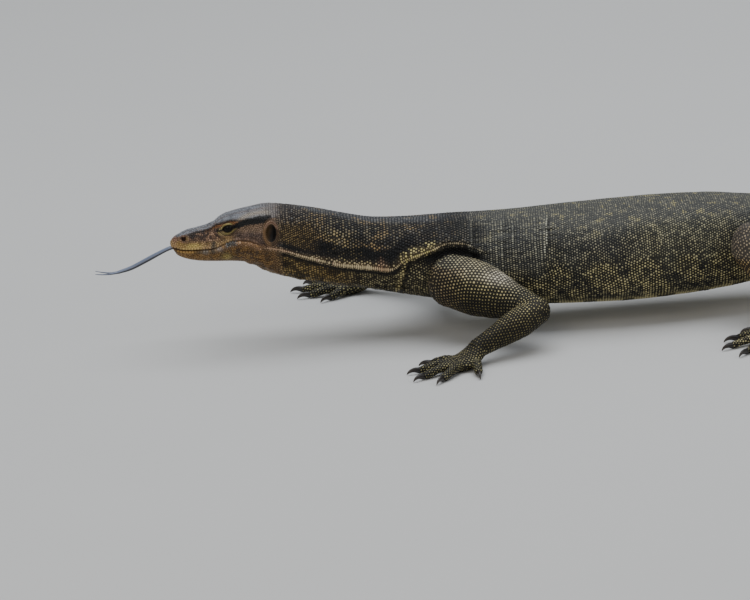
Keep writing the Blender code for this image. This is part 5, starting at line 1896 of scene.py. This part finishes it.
@dataclass
class Coat:
    """The scales as solid beads over the skin, in one piece for each stretch of the animal."""

    anatomy: Anatomy
    markings: Markings
    patch_size: float = 0.003
    fill: float = 0.95
    sink: float = 0.1
    stretches: tuple[tuple[str, float, float, Form], ...] = (
        ("head", -5, 113, Form.PLATE), ("neck", 113, 240, Form.BEAD),
        ("shoulders", 240, 345, Form.BEAD), ("ribs_front", 345, 445, Form.BEAD),
        ("ribs_rear", 445, 560, Form.BEAD), ("loins", 560, 690, Form.BEAD),
        ("tail_root", 690, 860, Form.BEAD), ("tail_middle", 860, 1200, Form.KEEL),
        ("tail_end", 1200, 1640, Form.KEEL))
    finishes: tuple[tuple[Form, ScaleFinish], ...] = (
        (Form.BEAD, ScaleFinish("bead_scale_keratin")),
        (Form.PLATE, ScaleFinish("lip_and_head_plate_keratin", 0.38, 0.36, 0.9, 0.50, 0.20)),
        (Form.KEEL, ScaleFinish("keeled_tail_scale_keratin", 0.42, 0.32, 0.9, 0.50, 0.12)))

    def __post_init__(self) -> None:
        """Makes the nodes that set the scales, and each form's scale and finish."""
        self.tree = self.setting_tree()
        self.looks = {form: (self.scale_shape(form), finish.material())
                      for form, finish in self.finishes}

    def scale_shape(self, form: Form) -> Object:
        """One scale, a unit across and a unit high, as a closed six-sided dome."""
        angle = np.radians(np.arange(0, 360, 60))
        corner = np.stack([np.cos(angle), np.sin(angle)], -1) / math.sqrt(3)
        points = [(*(corner[k] * share), height) for share, height in form.value for k in range(6)]
        crowns = [0.0] * 6 + [0.55] * 6 + [1.0]
        points.append(({Form.BEAD: 0.05, Form.PLATE: 0.0, Form.KEEL: 0.26}[form], 0.0, 1.0))
        faces = [tuple(range(5, -1, -1))]
        for k in range(6):
            after = (k + 1) % 6
            faces += [(k, after, 6 + after), (k, 6 + after, 6 + k), (6 + k, 6 + after, 12)]
        mesh = bpy.data.meshes.new(f"one_{form.name.lower()}")
        mesh.from_pydata(points, [], faces)
        mesh.shade_smooth()
        store(mesh, "crown", np.array(crowns))
        store(mesh, "flat", np.array(points) * [1, 1, 0])
        return piece(mesh.name, mesh)

    def setting_tree(self) -> NodeTree:
        """Geometry Nodes that set a scale on each root, keep its patch of the map and realize it."""
        tree = bpy.data.node_groups.new("set_scales_on_roots", "GeometryNodeTree")
        tree.interface.new_socket("Roots", in_out="INPUT", socket_type="NodeSocketGeometry")
        for name, kind in (("Scale shape", "Object"), ("Patch size", "Float"), ("Finish", "Material")):
            tree.interface.new_socket(name, in_out="INPUT", socket_type=f"NodeSocket{kind}")
        tree.interface.new_socket("Scales", in_out="OUTPUT", socket_type="NodeSocketGeometry")
        given = add_node(tree, "NodeGroupInput")
        facing, lie, size, patch, flat = (
            add_node(tree, "GeometryNodeInputNamedAttribute", {"Name": name}, data_type="FLOAT_VECTOR")
            for name in SPARE)
        upright = add_node(tree, "FunctionNodeAlignRotationToVector", {"Vector": facing}, axis="Z")
        turned = add_node(tree, "FunctionNodeAlignRotationToVector", {
            "Rotation": upright, "Vector": lie}, axis="X", pivot_axis="Z")
        shape = add_node(tree, "GeometryNodeObjectInfo", {"Object": given.outputs["Scale shape"]})
        placed = add_node(tree, "GeometryNodeInstanceOnPoints", {
            "Points": given, "Instance": shape.outputs["Geometry"], "Rotation": turned, "Scale": size})
        solid = add_node(tree, "GeometryNodeRealizeInstances", {"Geometry": placed})
        spread = add_node(tree, "ShaderNodeVectorMath", {
            0: flat, "Scale": given.outputs["Patch size"]}, operation="SCALE")
        on_map = add_node(tree, "ShaderNodeVectorMath", {0: patch, 1: spread}, operation="ADD")
        mapped = add_node(tree, "GeometryNodeStoreNamedAttribute", {
            "Geometry": solid, "Name": COAT_MAP, "Value": on_map}, data_type="FLOAT2", domain="CORNER")
        dressed = add_node(tree, "GeometryNodeSetMaterial", {
            "Geometry": mapped, "Material": given.outputs["Finish"]})
        add_node(tree, "NodeGroupOutput", {"Scales": dressed})
        return tree

    def set_on(self, name: str, roots: Roots, patch: Array, form: Form) -> Object:
        """Makes one piece of the coat as a plain mesh.

        Args:
            name: the piece's name, without the coat's.
            roots: its scales.
            patch: each root's place on the piece's map, from 0 to 1.
            form: the form of its scales.

        Returns:
            The piece.
        """
        name = f"coat_{name}"
        shape, finish = self.looks[form]
        mesh = bpy.data.meshes.new(name)
        mesh.from_pydata(((roots.point - roots.facing * self.sink) * MM).tolist(), [], [])
        store(mesh, "facing", roots.facing)
        store(mesh, "lie", roots.lie)
        pitch = roots.size * [self.fill / (math.sqrt(3) / 2), self.fill, 1.0]
        vary = np.stack([1 + 0.12 * noise(roots.point, 1.3, 40 + i) for i in range(2)]
                        + [1 + 0.2 * noise(roots.point, 1.3, 44)], -1)
        store(mesh, "size", pitch * vary * MM)
        store(mesh, "patch", np.concatenate([patch, np.zeros((len(patch), 1))], 1))
        store_paint(mesh, self.markings.at(self.anatomy.describe(roots.point)))
        made = piece(name, mesh)
        setting = made.modifiers.new("set_scales", "NODES")
        setting.node_group = self.tree
        given = {"Scale shape": shape, "Patch size": self.patch_size, "Finish": finish}
        for item in self.tree.interface.items_tree:
            if item.in_out == "INPUT" and item.name in given:
                setting[item.identifier] = given[item.name]
        mesh = settled(made)
        mesh.name = name
        for spare in SPARE:
            mesh.attributes.remove(mesh.attributes[spare])
        move_points(mesh, points_of(mesh).clip([-np.inf, -np.inf, 0.0], None))
        return made

    def body_patch(self, roots: Roots, start: float, end: float) -> Array:
        """Places on a map of the body's skin, slit along the belly and laid flat."""
        where = self.anatomy.describe(roots.point)
        along = (where.s - start) / (end - start)
        round_it = 0.5 + 0.5 * where.share * np.sign(where.out)
        return 0.01 + 0.98 * np.clip(np.stack([along, round_it], -1), 0, 1)

    def limb_patch(self, plan: LimbPlan, roots: Roots) -> Array:
        """Places on a map of a limb's skin, slit along its underside and laid flat."""
        where = self.anatomy.describe(roots.point)
        along = where.length / plan.path_length[-1]
        best = np.searchsorted(plan.path_length, where.length).clip(1, len(plan.path) - 1)
        tangent = unit(plan.path[best] - plan.path[best - 1])
        side = unit(np.cross(tangent, UP))
        up = np.cross(side, tangent)
        away = where.points - plan.path[best]
        turn = np.arctan2(np.sum(away * side, 1), np.sum(away * up, 1)) / math.pi
        return 0.01 + 0.98 * np.clip(np.stack([along, 0.5 + 0.5 * turn], -1), 0, 1)

    def paw_patch(self, plan: LimbPlan, roots: Roots) -> Array:
        """Places on a map of a paw's skin, its back and its sole laid side by side."""
        across = np.cross(UP, plan.ahead)
        away = roots.point - plan.wrist
        along, sideways = away @ plan.ahead, away @ across
        along = (along - along.min()) / np.ptp(along)
        sideways = (sideways - sideways.min()) / np.ptp(sideways)
        sole = roots.facing[:, 2] < 0
        return 0.01 + 0.98 * np.stack([along, 0.48 * sideways + 0.52 * sole], -1)

    def build(self, lips: Roots, roots: Roots) -> list[Object]:
        """Makes every piece of the coat."""
        made = [self.set_on("lips", lips, self.body_patch(lips, 0, 100), Form.PLATE)]
        where = self.anatomy.describe(roots.point)
        on_limb = (where.on_limb > 0.5) & (where.limb >= 0)
        for name, start, end, form in self.stretches:
            part = roots.kept(~on_limb & (where.s >= start) & (where.s < end))
            made.append(self.set_on(name, part, self.body_patch(part, start, end), form))
        for number, plan in enumerate(self.anatomy.limbs):
            mine = on_limb & (where.limb == number)
            paw = mine & (where.length > plan.path_length[-1] - 6)
            for name, mask, patch in ((plan.name, mine & ~paw, self.limb_patch),
                                      (f"{plan.name}_paw", paw, self.paw_patch)):
                part = roots.kept(mask)
                made.append(self.set_on(name, part, patch(plan, part), Form.BEAD))
        for shape, _ in self.looks.values():
            bpy.data.objects.remove(shape)
        return made


@dataclass
class Eye:
    """One eyeball with its lids' rims."""

    plan: BodyPlan
    side: Side
    cornea_angle: float = 36.0
    cornea_rise: float = 0.3
    rim_radius: float = 0.5
    corner_depth: float = 3.6
    forward: float = 0.12
    upward: float = 0.04

    def ball(self, finish: Material) -> Object:
        """The eyeball, with the cornea's slight bulge."""
        mesh = bpy.data.meshes.new("eyeball")
        with edited(mesh) as work:
            bmesh.ops.create_uvsphere(work, u_segments=48, v_segments=32, radius=EYEBALL_RADIUS * MM)
        points = points_of(mesh)
        angle = np.degrees(np.arccos(np.clip(points[:, 2] / EYEBALL_RADIUS, -1, 1)))
        bulge = self.cornea_rise * np.cos(np.radians(90 * np.clip(angle / self.cornea_angle, 0, 1)))
        points *= (1 + bulge / EYEBALL_RADIUS)[:, None]
        gaze = unit(np.array([-self.forward, float(self.side), self.upward]))
        turn = Vector(gaze).to_track_quat("Z", "Y").to_matrix()
        station, depth, height = EYEBALL
        centre = self.plan.place(station, self.side * depth, height)
        move_points(mesh, points @ np.array(turn).T + centre)
        store(mesh, "gaze", angle / 180)
        mesh.shade_smooth()
        return piece(f"eyeball_{self.side.word}", mesh, finish)

    def lids(self, finish: Material, markings: Markings) -> Object:
        """The rounded rim where the lids meet the eyeball."""
        ring = EYE.ring(1.03, 72)
        station, depth, height = EYEBALL
        away = np.hypot(ring[:, 0] - station, ring[:, 1] - height)
        lift = (EYEBALL_RADIUS + 0.35) ** 2 - away ** 2
        out = depth + np.sqrt(np.maximum(lift, self.corner_depth ** 2))
        line = self.plan.place(ring[:, 0], self.side * out, ring[:, 1])
        away = unit(line - line.mean(0))
        angle = np.linspace(0, TURN, 10, endpoint=False)[None, :, None]
        outward = np.array([0.0, float(self.side), 0.0])
        rings = (line[:, None] + self.rim_radius
                 * (np.cos(angle) * away[:, None] + np.sin(angle) * outward))
        count, sides = rings.shape[:2]
        shell = Shell([rings.reshape(-1, 3)], [
            (i * sides + j, (i + 1) % count * sides + j, (i + 1) % count * sides + (j + 1) % sides,
             i * sides + (j + 1) % sides) for i in range(count) for j in range(sides)])
        mesh = shell.mesh("lids")
        store_paint(mesh, markings.at(markings.anatomy.describe(points_of(mesh))))
        return piece(f"eyelids_{self.side.word}", mesh, finish)


@dataclass
class Tongue:
    """The forked tongue, out of the notch between the lips."""

    plan: BodyPlan
    line: tuple[tuple[float, float], ...] = (
        (8, 105.2), (0, 103.4), (-10, 99.4), (-25, 92.6), (-41, 85.8), (-53, 82.8))
    tine: tuple[tuple[float, float], ...] = ((-53, 82.8), (-61, 82.2), (-68, 82.8), (-76, 84.2))
    spread: float = 6.5
    half_width: float = 3.4
    half_thickness: tuple[tuple[float, float], ...] = (
        (0, 1.9), (0.2, 2.0), (0.5, 2.4), (0.8, 2.2), (1, 1.6))
    voxel: float = 0.32

    def build(self, finish: Material) -> Object:
        """Fuses the tongue's body and its two tines into one soft form."""
        shell = Shell()
        body = smooth_line(np.array([self.plan.place(s, 0.0, z) for s, z in self.line]), 30)
        share = np.linspace(0, 1, 30)
        thick = Curve(*self.half_thickness)(share)
        shell.loft(swept(body, self.half_width * (1 - 0.22 * share), thick, 24))
        for side in Side:
            spots = [self.plan.place(self.tine[0][0] + 3, side * 1.1, self.tine[0][1] + 1.0)]
            for i, (s, z) in enumerate(self.tine):
                way = i / (len(self.tine) - 1)
                out = side * (1.3 + (self.spread - 1.3) * way ** 1.4)
                spots.append(self.plan.place(s, out, z))
            share = np.linspace(0, 1, 20)
            shell.loft(swept(smooth_line(np.array(spots), 20), 1.3 - 0.9 * share,
                             1.2 - 0.8 * share, 16))
        made = piece("tongue_flesh", shell.mesh("tongue_flesh"))
        mesh = fused(made, self.voxel, 4)
        points = points_of(mesh)
        s, out = self.plan.locate(points)
        normals = normals_of(mesh)
        groove = hump(out, 0, 0.7) * (normals[:, 2] > 0.4) * ramp(-56, -40, s)
        points[:, 2] -= 0.45 * groove
        move_points(mesh, points)
        # How far each point faces up; it sets the tongue's painted sheen above and painted shade below.
        store(mesh, "upward", ramp(-0.5, 0.9, normals[:, 2]))
        mesh.shade_smooth()
        mesh.materials.append(finish)
        return made


@dataclass
class Claws:
    """The five curved claws of one paw."""

    limb: LimbPlan
    length: float = 15.0
    radii: tuple[float, float] = (3.0, 2.0)
    lift: float = 12.0
    bend: float = 75.0
    root_depth: float = 3.0
    steps: int = 16

    def build(self, finish: Material) -> Object:
        """Makes the paw's claws as one piece."""
        shell = Shell()
        reach = []
        for spots in self.limb.digits:
            line = smooth_line(spots, 8)
            way = unit(line[-1] - line[-2])
            flat = unit(way * [1, 1, 0])
            path = [line[-1] - way * self.root_depth, line[-1] + way * 0.3]
            for i in range(self.steps):
                pitch = math.radians(self.lift) - math.radians(self.bend) * (i + 0.5) / self.steps
                step = flat * math.cos(pitch) + [0, 0, math.sin(pitch)]
                path.append(path[-1] + step * self.length / self.steps)
            path = np.array(path)
            rise = max(0.0, 0.9 - path[:, 2].min()) * np.linspace(0, 1, len(path))
            path[:, 2] += rise
            share = np.clip((np.arange(len(path)) - 1) / self.steps, 0, 1)
            tall, wide = self.radii
            rings = swept(path, wide * (1 - share) ** 0.7 + 0.15, tall * (1 - share) ** 0.7 + 0.15, 14)
            rings[..., 2] = np.maximum(rings[..., 2], 0.1)
            shell.loft(rings)
            reach += [value for value in share for _ in range(14)] + [0.0, 1.0]
        mesh = shell.mesh("claws")
        store(mesh, "reach", np.array(reach))
        return piece(f"claws_{self.limb.names[2]}_{self.limb.side.word}", mesh, finish)


@dataclass
class Studio:
    """Pale floor, soft lights and the camera."""

    photo_size: tuple[int, int] = (750, 600)
    pixel_size: float = 0.001
    target: tuple[float, float, float] = (-0.56075, -0.0282, 0.0335)
    distance: float = 12.0
    elevation: float = 15.0
    roll: float = -4.5
    sensor: float = 36.0
    floor_size: float = 14.0
    aim: tuple[float, float, float] = (-0.35, 0.0, 0.06)
    lights: tuple[tuple[str, tuple[float, float, float], float, float, str], ...] = (
        ("sky_light", (-0.3, 0.5, 3.2), 3.4, 105.0, "eff2f8"),
        ("front_light", (-1.6, -3.2, 2.1), 2.2, 34.0, "fff6ea"),
        ("tail_light", (2.4, -1.8, 1.8), 2.0, 20.0, "f4f6ff"))

    def floor(self) -> Object:
        """The floor, a single pale sheet."""
        mesh = bpy.data.meshes.new("studio_floor")
        with edited(mesh) as work:
            bmesh.ops.create_grid(work, x_segments=1, y_segments=1, size=self.floor_size / 2)
        return piece("studio_floor", mesh, FloorFinish().material())

    def aimed(self, data: bpy.types.ID, place: Vector, view: Vector, roll: float = 0.0) -> Object:
        """Puts a lens or a light in the scene.

        Args:
            data: what is put there.
            place: where, in metres.
            view: the way it points.
            roll: how far it is turned about that, in degrees.

        Returns:
            The object that carries it.
        """
        made = bpy.data.objects.new(data.name, data)
        made.matrix_world = (Matrix.Translation(place) @ view.to_track_quat("-Z", "Y").to_matrix().to_4x4()
                             @ Matrix.Rotation(math.radians(roll), 4, "Z"))
        bpy.context.scene.collection.objects.link(made)
        return made

    def camera(self) -> Object:
        """A long lens level with the animal's side, rolled as the photograph is."""
        data = bpy.data.cameras.new("photo_view")
        data.sensor_width = self.sensor
        data.lens = self.sensor * self.distance / (self.photo_size[0] * self.pixel_size)
        data.clip_end = 100.0
        tilt = math.radians(self.elevation)
        view = Vector((0, math.cos(tilt), -math.sin(tilt)))
        return self.aimed(data, Vector(self.target) - view * self.distance, view, self.roll)

    def build(self) -> None:
        """Sets up floor, lights, surroundings and camera."""
        self.floor()
        for name, place, size, power, tone in self.lights:
            data = bpy.data.lights.new(name, "AREA")
            data.size = size
            data.energy = power
            data.color = colour(tone)
            self.aimed(data, Vector(place), Vector(self.aim) - Vector(place))
        world = bpy.data.worlds.new("studio")
        bpy.context.scene.world = world
        world.use_nodes = True
        feed(world.node_tree, world.node_tree.nodes["Background"], {
            "Color": rgba("d3d7dc"), "Strength": 0.5})
        bpy.context.scene.camera = self.camera()


def dress(made: Object, slot: str, *nodes: str) -> None:
    """Makes a finished piece ride on the body and stand for nodes."""
    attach(made, "root")
    if nodes:
        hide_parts(*nodes)
    log.info("%s: %d faces", made.name, len(made.data.polygons))


def main() -> None:
    """Builds the animal piece by piece, then the studio."""
    logging.basicConfig(level=logging.INFO, format="%(message)s")
    Studio().build()
    plan = BodyPlan()
    limbs = limb_plans()
    for limb in limbs:
        limb.set_out(plan)
    anatomy = Anatomy(plan, limbs)
    markings = Markings(anatomy)
    hide_finish = HideFinish().material()
    skin = Hide(anatomy).build()
    store_paint(skin.data, markings.at(anatomy.describe(points_of(skin.data))))
    skin.data.materials.clear()
    skin.data.materials.append(hide_finish)
    flesh = ["head", "lower_jaw", "neck", "torso_front", "torso_rear"]
    flesh += [f"tail_{number}" for number in range(1, 6)]
    flesh += [f"{name}_{limb.side.word}" for limb in limbs for name in limb.names]
    dress(skin, "dark_scaled_skin", *flesh)
    lips, roots = ScaleRows(anatomy, Surface(skin.data)).all_roots()
    for made in Coat(anatomy, markings).build(lips, roots):
        on_head = made.name in ("coat_lips", "coat_head")
        dress(made, "brown_head_skin" if on_head else "dark_scaled_skin")
    eye_finish = EyeFinish().material()
    for side in Side:
        eye = Eye(plan, side)
        dress(eye.ball(eye_finish), "eye", f"eye_{side.word}")
        dress(eye.lids(hide_finish, markings), "brown_head_skin")
    dress(Tongue(plan).build(TONGUE_FLESH.material()), "tongue", "tongue")
    horn = CLAW_HORN.material()
    for limb in limbs:
        kind, side = limb.names[2], limb.side.word
        dress(Claws(limb).build(horn), "claw_horn",
              *(f"claw_{kind}_{side}_{number}" for number in range(1, 6)))


if __name__ == "__main__":
    main()
